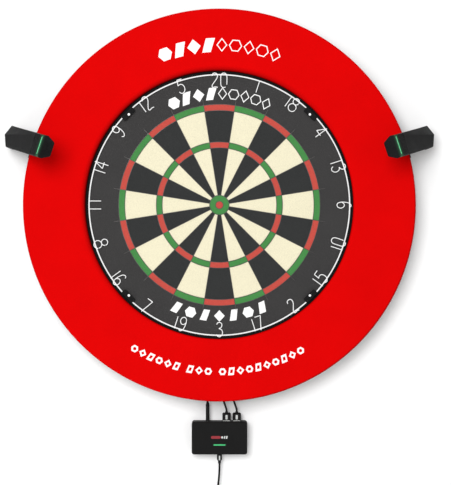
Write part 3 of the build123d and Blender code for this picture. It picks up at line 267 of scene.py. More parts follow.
def plastic(name, col, rough=0.5, grain=2600, depth=0.00006, coat=0.0, wear=0.5, spec=0.5, grain_strength=0.5):
    n = Nodes(name)
    fine = n.noise(grain, 3, 0.6)
    broad = n.noise(55, 4, 0.6)
    base = n.mix(n.rng(broad, 0, 1, 0.3, 0.7), mul(col, 0.86), mul(col, 1.12))
    if wear:
        base = n.mix(n.math("MULTIPLY", n.math("MULTIPLY", n.edge(0.0011), wear), n.rng(n.noise(380, 4, 0.7), 0.1, 1, 0.35, 0.7)), base, mul((col[0] + 0.03, col[1] + 0.03, col[2] + 0.03, 1), 1.9))
    r = n.math("ADD", n.rng(broad, rough - 0.05, rough + 0.07, 0.3, 0.7), n.rng(fine, -0.04, 0.05, 0.3, 0.7))
    n.bsdf(base=base, rough=r, spec=spec, normal=n.bump(fine, depth, grain_strength), coat=coat, coat_rough=0.06)
    return n.m


def arm_station(n):
    """Distances in metres along the leaning arm from its knee and out of its front face (same on both arms)."""
    xyz = n.n("ShaderNodeSeparateXYZ")
    n.link(n.co, xyz.inputs[0])
    r = n.math("ADD", n.math("MULTIPLY", n.math("ABSOLUTE", xyz.outputs["X"]), math.cos(math.radians(18))), n.math("MULTIPLY", xyz.outputs["Z"], math.sin(math.radians(18))))
    dr = n.math("SUBTRACT", r, 0.3767)
    dh = n.math("SUBTRACT", n.math("MULTIPLY", xyz.outputs["Y"], -1.0), 0.040)
    along = n.math("ADD", n.math("MULTIPLY", dr, -0.5353), n.math("MULTIPLY", dh, 0.8448))
    out = n.math("ADD", n.math("MULTIPLY", dr, 0.8448), n.math("MULTIPLY", dh, 0.5353))
    return along, out


def light_spill(n, along, out):
    """How much painted green glow, standing in for light from the strip, the plastic beside it gets."""
    away = n.math("ADD", n.math("MULTIPLY", n.math("ABSOLUTE", n.math("SUBTRACT", along, 0.1306)), 0.55), n.math("MULTIPLY", n.math("ABSOLUTE", out), 0.7))
    return n.math("POWER", n.rng(away, 1.0, 0.0, 0.0005, 0.0058), 1.8)


def gloss(name, col):
    """Polished black plastic: clear reflections, faint swirl marks and dust, with painted shade on the long side faces
    and a painted green glow beside the light strip.
    """
    n = Nodes(name)
    swirl = n.noise(120, 6, 0.7, distort=1.6)
    dust = n.voronoi(900)
    base = n.mix(n.rng(n.noise(40, 3), 0, 1, 0.3, 0.7), mul(col, 0.8), mul(col, 1.25))
    base = n.mix(n.rng(dust, 0.25, 0.0, 0.0, 0.05), base, (0.06, 0.06, 0.06, 1))
    along, out = arm_station(n)
    spill = light_spill(n, along, out)
    # painted shade: the long side faces are painted far darker than the end of the head, with less specular
    end = n.rng(along, 0.0, 1.0, 0.1308, 0.1330)
    base = n.mix(end, mul(col, 0.10), base)
    # the emission is the painted green glow from the light strip
    n.bsdf(base=base, rough=n.rng(swirl, 0.22, 0.34, 0.3, 0.7), spec=n.rng(end, 0.02, 0.055), normal=n.bump(n.noise(220, 2), 0.00003, 0.4),
           emit=(0.01, 0.36, 0.12, 1), emit_strength=n.math("MULTIPLY", spill, 0.26))
    return n.m


def metal(name, col, rough=0.32, direction=(1, 60, 1), wear=0.0, metallic=1.0, scratch=0.15):
    n = Nodes(name)
    v = n.mapped(direction)
    brush = n.noise(260, 5, 0.7, v)
    broad = n.noise(30, 4, 0.6)
    base = n.mix(n.rng(broad, 0, 1, 0.3, 0.7), mul(col, 0.84), mul(col, 1.1))
    base = n.mix(n.rng(brush, 0, scratch * 2, 0.45, 0.8), base, mul(col, 0.6))
    if wear:
        base = n.mix(n.math("MULTIPLY", n.edge(0.0008), wear), base, (0.7, 0.7, 0.68, 1))
    n.bsdf(base=base, rough=n.rng(brush, rough - 0.08, rough + 0.12, 0.3, 0.7), metal=metallic, normal=n.bump(brush, 0.00003, 0.5))
    return n.m


def enamel(name, col, rough=0.3, spec=0.5):
    """Painted or coated wire and sheet: slight orange peel, chips at the edges."""
    n = Nodes(name)
    peel = n.noise(650, 2, 0.5)
    broad = n.noise(60, 4, 0.6)
    base = n.mix(n.rng(broad, 0, 1, 0.3, 0.7), mul(col, 0.93), mul(col, 1.04))
    base = n.mix(n.math("MULTIPLY", n.rng(n.noise(500, 5, 0.7), 0, 0.6, 0.62, 0.72), n.edge(0.0006)), base, (0.25, 0.25, 0.25, 1))
    n.bsdf(base=base, rough=n.rng(broad, rough - 0.05, rough + 0.1, 0.3, 0.7), spec=spec, normal=n.bump(peel, 0.00004, 0.4))
    return n.m


def rubber(name, col, rough=0.7, spec=0.35):
    n = Nodes(name)
    fine = n.noise(1800, 4, 0.65)
    broad = n.noise(45, 4, 0.6)
    base = n.mix(n.rng(broad, 0, 1, 0.3, 0.7), mul(col, 0.85), mul(col, 1.2))
    base = n.mix(n.rng(fine, 0, 0.3, 0.55, 0.8), base, mul((col[0] + 0.02, col[1] + 0.02, col[2] + 0.02, 1), 1.6))
    n.bsdf(base=base, rough=n.rng(broad, rough - 0.06, rough + 0.1, 0.3, 0.7), spec=spec, normal=n.bump(fine, 0.00006, 0.5))
    return n.m


def weave(name, col, scale=900):
    n = Nodes(name)
    wa = n.n("ShaderNodeTexWave", wave_type="BANDS", bands_direction="X")
    wb = n.n("ShaderNodeTexWave", wave_type="BANDS", bands_direction="Z")
    for w in (wa, wb):
        n.link(n.co, w.inputs["Vector"])
        w.inputs["Scale"].default_value = scale
        w.inputs["Distortion"].default_value = 1.5
    h = n.math("MAXIMUM", wa.outputs["Fac"], wb.outputs["Fac"])
    base = n.mix(n.rng(h, 0, 1, 0.2, 0.9), mul(col, 0.5), mul(col, 1.4))
    n.bsdf(base=base, rough=0.95, normal=n.bump(h, 0.0002, 0.8), sheen=0.3)
    return n.m


def board_wood(name, col):
    n = Nodes(name)
    chips = n.voronoi(260, out="Color", vec=n.mapped((1, 3.5, 1)))
    s = n.n("ShaderNodeSeparateColor")
    n.link(chips, s.inputs[0])
    fine = n.noise(700, 5, 0.7)
    base = n.mix(s.outputs[0], mul(col, 0.6), mul(col, 1.25))
    base = n.mix(n.rng(fine, 0, 0.5, 0.35, 0.75), base, mul(col, 0.7))
    n.bsdf(base=base, rough=n.rng(fine, 0.7, 0.95), spec=0.3, normal=n.bump(fine, 0.0003, 0.7))
    return n.m


def solder_mask(name):
    n = Nodes(name)
    br = n.n("ShaderNodeTexBrick")
    n.link(n.mapped(1.0, (math.radians(90), 0, 0)), br.inputs["Vector"])
    br.inputs["Scale"].default_value = 260
    br.inputs["Mortar Size"].default_value = 0.035
    br.inputs["Color1"].default_value = (0.012, 0.09, 0.035, 1)
    br.inputs["Color2"].default_value = (0.016, 0.12, 0.045, 1)
    br.inputs["Mortar"].default_value = (0.05, 0.22, 0.09, 1)
    fine = n.noise(800, 3)
    base = n.mix(n.rng(fine, 0, 0.35, 0.5, 0.8), br.outputs["Color"], (0.02, 0.16, 0.06, 1))
    n.bsdf(base=base, rough=n.rng(fine, 0.25, 0.4), spec=0.5, normal=n.bump(br.outputs["Fac"], 0.00003, 0.5))
    return n.m


def glow(name, core, rim, strength):
    """Light pipe: brighter in the middle of the strip, slightly uneven along it."""
    n = Nodes(name)
    uneven = n.noise(180, 3, 0.5)
    lw = n.n("ShaderNodeLayerWeight")
    lw.inputs["Blend"].default_value = 0.35
    c = n.mix(n.rng(uneven, 0.0, 0.5, 0.3, 0.7), core, rim)
    c = n.mix(lw.outputs["Facing"], c, rim)
    n.bsdf(base=mul(rim, 0.5), rough=n.rng(uneven, 0.2, 0.35), emit=c, emit_strength=n.math("MULTIPLY", n.rng(uneven, 0.85, 1.12, 0.3, 0.7), strength), normal=n.bump(uneven, 0.00005, 0.3))
    return n.m


def smoked(name):
    n = Nodes(name)
    fine = n.noise(300, 3)
    n.bsdf(base=n.mix(fine, (0.012, 0.012, 0.016, 1), (0.03, 0.03, 0.04, 1)), rough=n.rng(fine, 0.02, 0.07), spec=0.6, coat=0.5, alpha=0.72, normal=n.bump(fine, 0.00001, 0.3))
    return n.m


def ink(name, col, rough=0.5, patch=0.25):
    """Screen print: thin, faintly mottled where the ink sits on a grainy ground."""
    n = Nodes(name)
    fine = n.noise(1500, 4, 0.7)
    broad = n.noise(90, 3, 0.6)
    base = n.mix(n.rng(broad, 0, 1, 0.3, 0.7), mul(col, 0.93), col)
    base = n.mix(n.rng(fine, 0, patch, 0.55, 0.8), base, mul(col, 0.7))
    n.bsdf(base=base, rough=n.rng(fine, rough - 0.08, rough + 0.12, 0.3, 0.7), spec=0.35, normal=n.bump(fine, 0.00004, 0.5))
    return n.m


RED_FOAM = srgb(213, 2, 2.6)
MAT = {
    "sisal_black": sisal("sisal_black", srgb(49, 50, 50), 0.30),
    # rim: from this radius outward the outer band gets painted shade towards the surround
    "sisal_band": sisal("sisal_band", srgb(59, 58, 58), 0.26, rim=0.2206),
    "sisal_cream": sisal("sisal_cream", srgb(236, 229, 199), 0.10),
    "sisal_red": sisal("sisal_red", srgb(196, 79, 69), 0.16),
    "sisal_green": sisal("sisal_green", srgb(71, 137, 73), 0.18),
    "sisal_undyed": sisal("sisal_undyed", srgb(190, 170, 125), 0.18),
    "particle_board": board_wood("particle_board", srgb(170, 140, 100)),
    "rim_steel": plastic("rim_steel", srgb(18, 17, 17), 0.7, 1500, 0.00004, wear=0.08, spec=0.05),
    "blade_steel": metal("blade_steel", (0.075, 0.072, 0.07, 1), 0.5, (1, 1, 1), 0.0),
    "white_wire": enamel("white_wire", srgb(240, 240, 240), 0.35),
    "clip_black": plastic("clip_black", srgb(14, 14, 15), 0.6, wear=0.15, spec=0.10),
    "pin_white": plastic("pin_white", srgb(248, 248, 248), 0.35, wear=0.0),
    "foam_red": foam("foam_red", RED_FOAM),
    "plate_black": enamel("plate_black", srgb(26, 26, 27), 0.5),
    "zinc_steel": metal("zinc_steel", (0.5, 0.5, 0.48, 1), 0.34, (1, 8, 30)),
    "pad_rubber": rubber("pad_rubber", srgb(28, 28, 29)),
    "socket_black": plastic("socket_black", srgb(30, 31, 33), 0.55),
    "hook_and_loop": weave("hook_and_loop", srgb(45, 45, 47)),
    "arm_matte": plastic("arm_matte", srgb(20, 20, 20.5), 0.58, 3000, 0.00005, wear=0.35, spec=0.09),
    "arm_gloss": gloss("arm_gloss", srgb(27, 27, 28)),
    "light_green": glow("light_green", (0.24, 0.86, 0.46, 1), (0.03, 0.50, 0.16, 1), 0.95),
    "dark_window": smoked("dark_window"),
    "lens_black": plastic("lens_black", srgb(12, 12, 13), 0.25, wear=0.0),
    "circuit_green": solder_mask("circuit_green"),
    "screw_black": metal("screw_black", (0.04, 0.04, 0.042, 1), 0.38, (1, 1, 1), 0.5),
    "box_black": plastic("box_black", srgb(16, 16, 16), 0.6, 2800, 0.00005, wear=0.25, spec=0.12),
    "port_metal": metal("port_metal", (0.62, 0.62, 0.6, 1), 0.22, (1, 1, 20)),
    "box_light": glow("box_light", (0.10, 0.62, 0.26, 1), (0.01, 0.36, 0.09, 1), 0.75),
    "tape_grey": rubber("tape_grey", srgb(120, 120, 120), 0.8),
    "grip_black": plastic("grip_black", srgb(17, 17, 18), 0.55, 2400, wear=0.2, spec=0.15),
    "lead_black": rubber("lead_black", srgb(14, 14, 15), 0.6, 0.15),
}
INK_WHITE = ink("ink_white", srgb(250, 250, 250))
INK_BAND = ink("ink_band", srgb(248, 248, 247), 0.6, 0.45)
INK_RED = ink("ink_red", srgb(150, 34, 44))
INK_GREY = ink("ink_grey", srgb(205, 208, 206))

RECORD = frame["record"]
SLOT = {s["node"]: s["material_slot"] for s in RECORD["subparts"]}
BODY = {n: b for b, ns in RECORD["behaviour"]["bodies"].items() for n in ns}


def paint(obj, m):
    obj.data.materials.clear()
    obj.data.materials.append(m)


for node, obj in frame["nodes"].items():
    m = MAT["sisal_band"] if node == "face_outer_band" else MAT[SLOT[node]]
    if obj.material_slots:
        for s in obj.material_slots:
            s.material = m
    else:
        obj.data.materials.append(m)


def add_mesh(name, verts, faces, m, body, smooth=None):
    me = bpy.data.meshes.new(name)
    me.from_pydata([tuple(v) for v in verts], [], faces)
    me.validate()
    me.update()
    ob = bpy.data.objects.new(name, me)
    COLL.objects.link(ob)
    me.materials.append(m)
    if smooth is not None:
        me.shade_smooth()
        me.set_sharp_from_angle(angle=math.radians(smooth))
    if body:
        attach(ob, body)
    return ob


def skin(node, width, segments=2, angle=32, smooth=40, extra=None):
    """A clean welded copy of a hard CAD piece with its edges rounded, standing for that node."""
    src = frame["nodes"][node]
    bm = bmesh.new()
    bm.from_mesh(src.data)
    bmesh.ops.remove_doubles(bm, verts=bm.verts, dist=2e-6)
    bmesh.ops.dissolve_limit(bm, angle_limit=math.radians(0.6), verts=bm.verts, edges=bm.edges, delimit={"NORMAL"})
    bmesh.ops.recalc_face_normals(bm, faces=bm.faces)
    me = bpy.data.meshes.new(node + "_skin")
    bm.to_mesh(me)
    bm.free()
    ob = bpy.data.objects.new(node + "_skin", me)
    COLL.objects.link(ob)
    me.materials.append(src.material_slots[0].material)
    me.shade_smooth()
    me.set_sharp_from_angle(angle=math.radians(smooth))
    if width:
        b = ob.modifiers.new("round", "BEVEL")
        b.width = width
        b.segments = segments
        b.limit_method = "ANGLE"
        b.angle_limit = math.radians(angle)
        b.use_clamp_overlap = True
        b.harden_normals = False
        w = ob.modifiers.new("normals", "WEIGHTED_NORMAL")
        w.keep_sharp = False
        w.weight = 80
    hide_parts(node)
    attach(ob, BODY[node])
    return ob


# ------------------------------------------------------------------------------------------------ surround
def lathe(name, profile, m, body, segments=360):
    """profile: closed list of (r, h) in mm, turned round the bull's axis."""
    verts, faces = [], []
    k = len(profile)
    for i in range(segments):
        a = 2 * math.pi * i / segments
        for r, h in profile:
            verts.append((r * math.cos(a) * MM, -h * MM, r * math.sin(a) * MM))
    for i in range(segments):
        j = (i + 1) % segments
        for p in range(k):
            q = (p + 1) % k
            faces.append((i * k + p, i * k + q, j * k + q, j * k + p))
    ob = add_mesh(name, verts, faces, m, body, 50)
    bm = bmesh.new()
    bm.from_mesh(ob.data)
    bmesh.ops.recalc_face_normals(bm, faces=bm.faces)
    bm.to_mesh(ob.data)
    bm.free()
    return ob


def corner(cx, cy, r, a0, a1, n=8):
    return [(cx + r * math.cos(math.radians(a0 + (a1 - a0) * i / n)), cy + r * math.sin(math.radians(a0 + (a1 - a0) * i / n))) for i in range(n + 1)]


R_OUT, R_IN, H0, H1 = 331.8, 226.0, 20.0, 60.0
profile = (corner(R_OUT - 1.2, H0 + 1.2, 1.2, -90, 0, 4) + corner(R_OUT - 4.4, H1 - 4.4, 4.4, 0, 90, 10)
           + [(R_OUT - 4.4 - (R_OUT - R_IN - 8.8) * i / 8, H1) for i in range(1, 8)]
           + corner(R_IN + 4.0, H1 - 4.0, 4.0, 90, 180, 8) + corner(R_IN + 1.0, H0 + 1.0, 1.0, 180, 270, 3))
surround = lathe("surround_foam", profile, MAT["foam_red"], "wall_frame", 420)
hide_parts("surround")

# ------------------------------------------------------------------------------------------------ dartboard
band_profile = (corner(225.5 - 0.7, 58.2 - 0.7, 0.7, 0, 90, 5) + corner(221.9 + 0.4, 58.2 - 0.4, 0.4, 90, 180, 4) + [(221.9, 56.8), (224.7, 56.8), (224.7, 20.0), (225.5, 20.0)])
band = lathe("rim_band", band_profile, MAT["rim_steel"], "board", 360)
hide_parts("board_band")


def tube(name, points, radius, m, body=None, segments=14, caps=True, radii=None):
    """Round tube along points (metres), with frames carried along without twist."""
    pts = [Vector(p) for p in points]
    verts, faces = [], []
    t0 = (pts[1] - pts[0]).normalized()
    side = t0.orthogonal().normalized()
    prev = t0
    for i, p in enumerate(pts):
        t = (pts[min(i + 1, len(pts) - 1)] - pts[max(i - 1, 0)]).normalized()
        axis = prev.cross(t)
        if axis.length > 1e-9:
            side = Matrix.Rotation(prev.angle(t), 3, axis.normalized()) @ side
        side = (side - t * side.dot(t)).normalized()
        up = t.cross(side)
        prev = t
        r = radii[i] if radii else radius
        for s in range(segments):
            a = 2 * math.pi * s / segments
            verts.append(p + side * (math.cos(a) * r) + up * (math.sin(a) * r))
    for i in range(len(pts) - 1):
        for s in range(segments):
            q = (s + 1) % segments
            faces.append((i * segments + s, i * segments + q, (i + 1) * segments + q, (i + 1) * segments + s))
    if caps:
        faces.append(tuple(reversed(range(segments))))
        faces.append(tuple((len(pts) - 1) * segments + s for s in range(segments)))
    return add_mesh(name, verts, faces, m, body, 55)


def polar(r, deg, h):
    a = math.radians(deg)
    return Vector((r * math.cos(a) * MM, -h * MM, r * math.sin(a) * MM))


# number ring: one round wire hoop and the bent-wire numerals behind and in front of it
H_WIRE = 61.1
R_RING, D_H = 219.5, 24.5
NUMBERS = [20, 1, 18, 4, 13, 6, 10, 15, 2, 17, 3, 19, 7, 16, 8, 11, 14, 9, 12, 5]


def arc_points(cx, cy, r, a0, a1, n=13):
    return [(cx + r * math.cos(math.radians(a0 + (a1 - a0) * i / (n - 1))), cy + r * math.sin(math.radians(a0 + (a1 - a0) * i / (n - 1)))) for i in range(n)]


SIX_BACK = [(9.4, 21.4), (7.6, 23.8), (4.8, 23.6), (2.0, 20.2), (0.6, 13.6), (0.6, 6.8), (2.2, 2.0), (5.6, 0.1)]
SIX_LOOP = [(5.6, 0.1), (9.2, 2.2), (10.6, 6.6), (9.0, 11.0), (5.6, 12.8), (2.4, 11.2), (0.9, 8.6)]
DIGITS = {
    "0": (11.0, [("S", [(10.6, 5.0), (10.8, 12.0), (10.6, 19.5), (8.6, 23.4), (5.4, 24.4), (2.2, 23.2), (0.5, 19.5), (0.3, 12.0), (0.5, 5.0), (2.2, 1.3), (5.4, 0.1), (8.4, 0.9)])]),
    "1": (0.0, [("L", [(0, 1.5), (0, 22.3)])]),
    "2": (10.4, [("S", [(0.6, 19.8), (1.8, 23.2), (5.0, 24.5), (8.6, 23.2), (9.8, 19.6), (8.4, 15.0), (4.6, 9.6), (1.2, 4.4), (0.8, 1.6), (2.6, 0.3), (6.0, 1.2), (10.4, 0.5)])]),
    "3": (10.6, [("S", [(0.8, 20.8), (2.4, 23.7), (5.6, 24.5), (8.8, 22.8), (9.6, 19.4), (8.0, 15.9), (4.6, 14.0)]), ("S", [(4.2, 14.0), (8.6, 12.4), (10.6, 8.0), (9.6, 3.4), (6.0, 0.4), (2.4, 1.2), (0.4, 4.2)])]),
    "4": (11.2, [("L", [(8.2, 0.5), (8.2, 24.0)]), ("L", [(8.2, 24.0), (0.4, 8.6), (11.2, 8.6)])]),
    "5": (10.8, [("L", [(10.0, 24.0), (2.0, 24.0), (1.2, 14.0)]), ("S", [(1.2, 14.4), (5.0, 15.8), (9.0, 14.0), (10.8, 9.0), (9.6, 3.6), (5.6, 0.4), (2.0, 1.4), (0.3, 4.0)])]),
    "6": (10.6, [("S", SIX_BACK), ("S", SIX_LOOP)]),
    "7": (10.4, [("L", [(0.3, 24.0), (10.4, 24.0), (4.2, 0.2)])]),
    "8": (11.6, [("S", arc_points(5.8, 18.9, 5.3, 0, 350)), ("S", arc_points(5.8, 7.0, 6.6, 0, 350))]),
    "9": (10.6, [("S", [(11.2 - u, D_H - v) for u, v in part]) for part in (SIX_BACK, SIX_LOOP)]),
}


def numeral_strokes(number, angle):
    upper = -1 < ((angle + 90) % 360) - 90 < 181
    grow = 1.0
    a = math.radians(angle)
    radial, clockwise = (math.cos(a), math.sin(a)), (math.sin(a), -math.cos(a))
    text, pen, placed = str(number), 0.0, []
    for i, ch in enumerate(text):
        width, strokes = DIGITS[ch]
        placed += [(kind, [(pen + u, v) for u, v in pts]) for kind, pts in strokes]
        pen += width + (0 if i == len(text) - 1 else (13.5 if text == "11" else (4.6 if ch != "1" else 5.4)))
    out = []
    for kind, pts in placed:
        done = []
        for u, v in pts:
            x = (u - pen / 2) * grow
            if upper:
                r = R_RING + 2.8 - (D_H - v) * grow
                done.append((r * radial[0] + x * clockwise[0], r * radial[1] + x * clockwise[1]))
            else:
                r = R_RING + 2.8 - v * grow
                done.append((r * radial[0] - x * clockwise[0], r * radial[1] - x * clockwise[1]))
        out.append((kind, done))
    return out


def catmull(pts, n=6):
    out = []
    for i in range(len(pts) - 1):
        p0 = pts[max(i - 1, 0)]
        p1, p2 = pts[i], pts[i + 1]
        p3 = pts[min(i + 2, len(pts) - 1)]
        for k in range(n):
            t = k / n
            out.append(tuple(0.5 * (2 * b + (c - a) * t + (2 * a - 5 * b + 4 * c - d) * t * t + (3 * b - a - 3 * c + d) * t ** 3) for a, b, c, d in zip(p0, p1, p2, p3)))
    out.append(tuple(pts[-1]))
    return out


def soften(pts, r=0.9):
    """Round the corners of a bent wire."""
    out = [pts[0]]
    for a, b, c in zip(pts, pts[1:], pts[2:]):
        va, vc = Vector(a) - Vector(b), Vector(c) - Vector(b)
        p, q = Vector(b) + va.normalized() * min(r, va.length / 2), Vector(b) + vc.normalized() * min(r, vc.length / 2)
        for k in range(5):
            t = k / 4
            out.append(tuple((1 - t) ** 2 * p + 2 * t * (1 - t) * Vector(b) + t * t * q))
    out.append(pts[-1])
    return out


def join(name, parts):
    """Join mesh objects into one."""
    bm = bmesh.new()
    m = parts[0].data.materials[0]
    for p in parts:
        bm.from_mesh(p.data)
    me = bpy.data.meshes.new(name)
    bm.to_mesh(me)
    bm.free()
    for p in parts:
        bpy.data.objects.remove(p)
    ob = bpy.data.objects.new(name, me)
    COLL.objects.link(ob)
    me.materials.append(m)
    me.shade_smooth()
    me.set_sharp_from_angle(angle=math.radians(60))
    return ob


WIRE_R = 0.82
parts = []
hoop = [polar(R_RING, 360 * i / 360, H_WIRE) for i in range(361)]
parts.append(tube("hoop", hoop, 1.2 * MM, MAT["white_wire"], segments=10, caps=False))
for k, number in enumerate(NUMBERS):
    for kind, pts in numeral_strokes(number, 90 - 18 * k):
        line = soften(pts) if kind == "L" else catmull(pts, 5)
        parts.append(tube("stroke", [(x * MM, -(H_WIRE + 0.25) * MM, z * MM) for x, z in line], WIRE_R * MM, MAT["white_wire"], segments=8))
ring = join("number_wire", parts)
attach(ring, "number_ring")
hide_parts("number_ring")

skin("ring_clips", 0.6 * MM, 3)
skin("clip_pins", 0.35 * MM, 3)


# ------------------------------------------------------------------------------------------------ prints
def print_shapes(name, shapes, place, m, body, thick=0.05 * MM, step=1.2):
    """shapes: list of (outline, holes) polygons in flat mm; place maps (u, v) to a point on the surface."""
    verts, faces = [], []
    for outline, holes in shapes:
        loops = []
        for loop in [outline] + holes:
            dense = []
            for (ax, ay), (bx, by) in zip(loop, loop[1:] + loop[:1]):
                n = max(1, int(math.hypot(bx - ax, by - ay) / step))
                dense += [(ax + (bx - ax) * i / n, ay + (by - ay) * i / n) for i in range(n)]
            loops.append(dense)
        flat = [p for loop in loops for p in loop]
        edges, start = [], 0
        for loop in loops:
            edges += [(start + i, start + (i + 1) % len(loop)) for i in range(len(loop))]
            start += len(loop)
        vs, es, fs, *_ = delaunay_2d_cdt([Vector(p) for p in flat], edges, [], 1 if not holes else 4, 1e-5)
        keep = []
        for f in fs:
            cx, cy = sum(vs[i][0] for i in f) / len(f), sum(vs[i][1] for i in f) / len(f)
            inside = in_poly(cx, cy, loops[0]) and not any(in_poly(cx, cy, h) for h in loops[1:])
            if inside:
                keep.append(f)
        base = len(verts)
        verts += [place(v[0], v[1]) for v in vs]
        faces += [tuple(base + i for i in f) for f in keep]
    ob = add_mesh(name, verts, faces, m, None)
    bm = bmesh.new()
    bm.from_mesh(ob.data)
    bmesh.ops.recalc_face_normals(bm, faces=bm.faces)
    for f in bm.faces:
        if f.normal.y > 0:
            f.normal_flip()
    bm.to_mesh(ob.data)
    bm.free()
    s = ob.modifiers.new("ink_layer", "SOLIDIFY")
    s.thickness = thick
    s.offset = 1.0
    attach(ob, body)
    return ob


def in_poly(x, y, poly):
    c = False
    for (ax, ay), (bx, by) in zip(poly, poly[1:] + poly[:1]):
        if (ay > y) != (by > y) and x < (bx - ax) * (y - ay) / (by - ay) + ax:
            c = not c
    return c


def on_arc(r0, mid_deg, h, outward=True):
    """u runs clockwise from the middle when outward (upright at the top), the other way when not (upright at the bottom)."""
    def place(u, v):
        if outward:
            a, r = math.radians(mid_deg) - u / r0, r0 + v
        else:
            a, r = math.radians(mid_deg) + u / r0, r0 - v
        return (r * math.cos(a) * MM, -h * MM, r * math.sin(a) * MM)
    return place


def shift(poly, du, dv=0.0, k=1.0):
    return [(x * k + du, y * k + dv) for x, y in poly]


def disc(r, n=28):
    return [(r * math.cos(2 * math.pi * i / n), r * math.sin(2 * math.pi * i / n)) for i in range(n)]


def slash(w, h, lean=0.35):
    return [(-w / 2 - lean * h / 2, -h / 2), (w / 2 - lean * h / 2, -h / 2), (w / 2 + lean * h / 2, h / 2), (-w / 2 + lean * h / 2, h / 2)]


def diamond(w, h):
    return [(-w / 2, 0), (0, -h / 2), (w / 2, 0), (0, h / 2)]


def triangle(w, h):
    return [(-w / 2, -h / 2), (w / 2, -h / 2), (0, h / 2)]


def hexagon(r):
    return [(r * math.cos(math.radians(60 * i)), r * math.sin(math.radians(60 * i))) for i in range(6)]


def outline_of(poly, k):
    return (poly, [[(x * k, y * k) for x, y in reversed(poly)]])


def row(items, span):
    """items: list of (shape, width). Spread them over span."""
    total = sum(w for _, w in items)
    gap = (span - total) / (len(items) - 1)
    out, u = [], -span / 2
    for shape, w in items:
        c = u + w / 2
        outline, holes = shape if isinstance(shape, tuple) else (shape, [])
        out.append((shift(outline, c), [shift(hh, c) for hh in holes]))
        u += w + gap
    return out


# top of the surround: bold flat shapes, then thin outlined ones
hh = 23.5
thin_a, thin_b = outline_of(diamond(18.5, hh), 0.78), outline_of(hexagon(11.2), 0.83)
bold_run = [(hexagon(12.2), 24.4), (slash(15, hh), 21), (diamond(23, hh + 2), 22), (slash(15, hh), 21)]
top_items = bold_run + [(thin_a, 18.5), (thin_b, 21.5), (thin_a, 18.5), (thin_b, 21.5), (thin_a, 18.5)]
print_shapes("surround_print_top", row(top_items, 211.0), on_arc(270.0, 90, H1 + 0.02), INK_WHITE, "wall_frame")
# bottom of the surround: three runs of small outlined shapes
h2 = 13.0
small = [(outline_of(slash(9.6, h2, 0.2), 0.46), 12.0), (outline_of(hexagon(6.5), 0.48), 12.6), (outline_of(diamond(13.0, h2 + 1.0), 0.44), 12.6)]
low_shapes, u = [], -156.0
for run in ([1, 2, 0, 1, 2, 0], [0, 2, 1], [1, 0, 2, 1, 0, 2, 1, 0, 2, 1]):
    for k in run:
        (outline, holes), w = small[k]
        low_shapes.append((shift(outline, u + w / 2), [shift(hole, u + w / 2) for hole in holes]))
        u += w + 2.9
    u += 8.6
print_shapes("surround_print_bottom", low_shapes, on_arc(281.0, 270, H1 + 0.02, False), INK_WHITE, "wall_frame")
# printed bands on the dark sisal
bt = [(hexagon(10.6), 20.5), (slash(12.5, 20.5), 18.5), (diamond(19.5, 22), 19), (slash(12.5, 20.5), 18.5), (outline_of(diamond(15.5, 21.5), 0.78), 15), (outline_of(hexagon(9.8), 0.83), 18),
      (outline_of(diamond(15.5, 21.5), 0.78), 15), (outline_of(hexagon(9.8), 0.83), 18), (outline_of(diamond(15.5, 21.5), 0.78), 15)]
print_shapes("board_print_top", row(bt, 178.0), on_arc(188.0, 90, 58.03), INK_BAND, "board")
bb = [(slash(11, 18.5, 0.25), 16), (hexagon(9.8), 19), (slash(11, 18.5, 0.25), 16), (diamond(18, 19.5), 18), (slash(11, 18.5, 0.25), 16), (hexagon(9.8), 19), (slash(11, 18.5, 0.25), 16)]
print_shapes("board_print_bottom", row(bb, 164.0), on_arc(187.0, 270, 58.03, False), INK_BAND, "board")


def on_box(x0, z0):
    return lambda u, v: ((x0 + u) * MM, -26.02 * MM, (z0 + v) * MM)


def rounded(w, h, r, n=5):
    out = []
    for cx, cy, a0 in ((w / 2 - r, -h / 2 + r, -90), (w / 2 - r, h / 2 - r, 0), (-w / 2 + r, h / 2 - r, 90), (-w / 2 + r, -h / 2 + r, 180)):
        out += [(cx + r * math.cos(math.radians(a0 + 90 * i / n)), cy + r * math.sin(math.radians(a0 + 90 * i / n))) for i in range(n + 1)]
    return out


print_shapes("box_mark_red", [(shift(rounded(16.5, 4.6, 2.2), -6.2), [])], on_box(0.0, -396.2), INK_RED, "wall_frame", 0.03 * MM)
print_shapes("box_mark_white", [(shift(disc(1.9), 4.6), []), (shift(slash(2.0, 4.6, 0.2), 8.8), []), (shift(slash(2.4, 4.8, 0.2), 12.4), [])], on_box(0.0, -396.2), INK_GREY, "wall_frame", 0.03 * MM)

# ------------------------------------------------------------------------------------------------ camera arms and box
for side in ("left", "right"):
    skin(f"arm_cover_{side}", 0.9 * MM, 3)
    skin(f"arm_back_shell_{side}", 0.5 * MM, 2)
    skin(f"arm_head_cap_{side}", 0.9 * MM, 3, 25)
    skin(f"arm_socket_{side}", 0.4 * MM, 2)
    skin(f"arm_lens_{side}", 0.15 * MM, 2)
skin("box_front_shell", 0.5 * MM, 2)
skin("box_back_shell", 0.4 * MM, 2)
skin("wall_plate", 0.4 * MM, 2)
skin("hanger_bracket", 0.35 * MM, 2)
skin("cable_comb", 0.4 * MM, 2)
skin("support_pads", 0.6 * MM, 3)
skin("centre_bolt", 0.3 * MM, 2)
for n in ("usb_plug_left_grip", "usb_plug_right_grip", "dc_plug_grip", "power_plug_grip", "supply_plug_grip"):
    skin(n, 0.4 * MM, 2)
for n in ("usb_plug_left_shell", "usb_plug_right_shell", "supply_plug_shell"):
    skin(n, 0.12 * MM, 2)


# light inlays on the plugs' grips
def inlay(name, x, z, w, h, front, body):
    return print_shapes(name, [(rounded(w, h, min(w, h) * 0.3), [])], lambda u, v: ((x + u) * MM, -front * MM, (z + v) * MM), INK_GREY, body, 0.05 * MM)


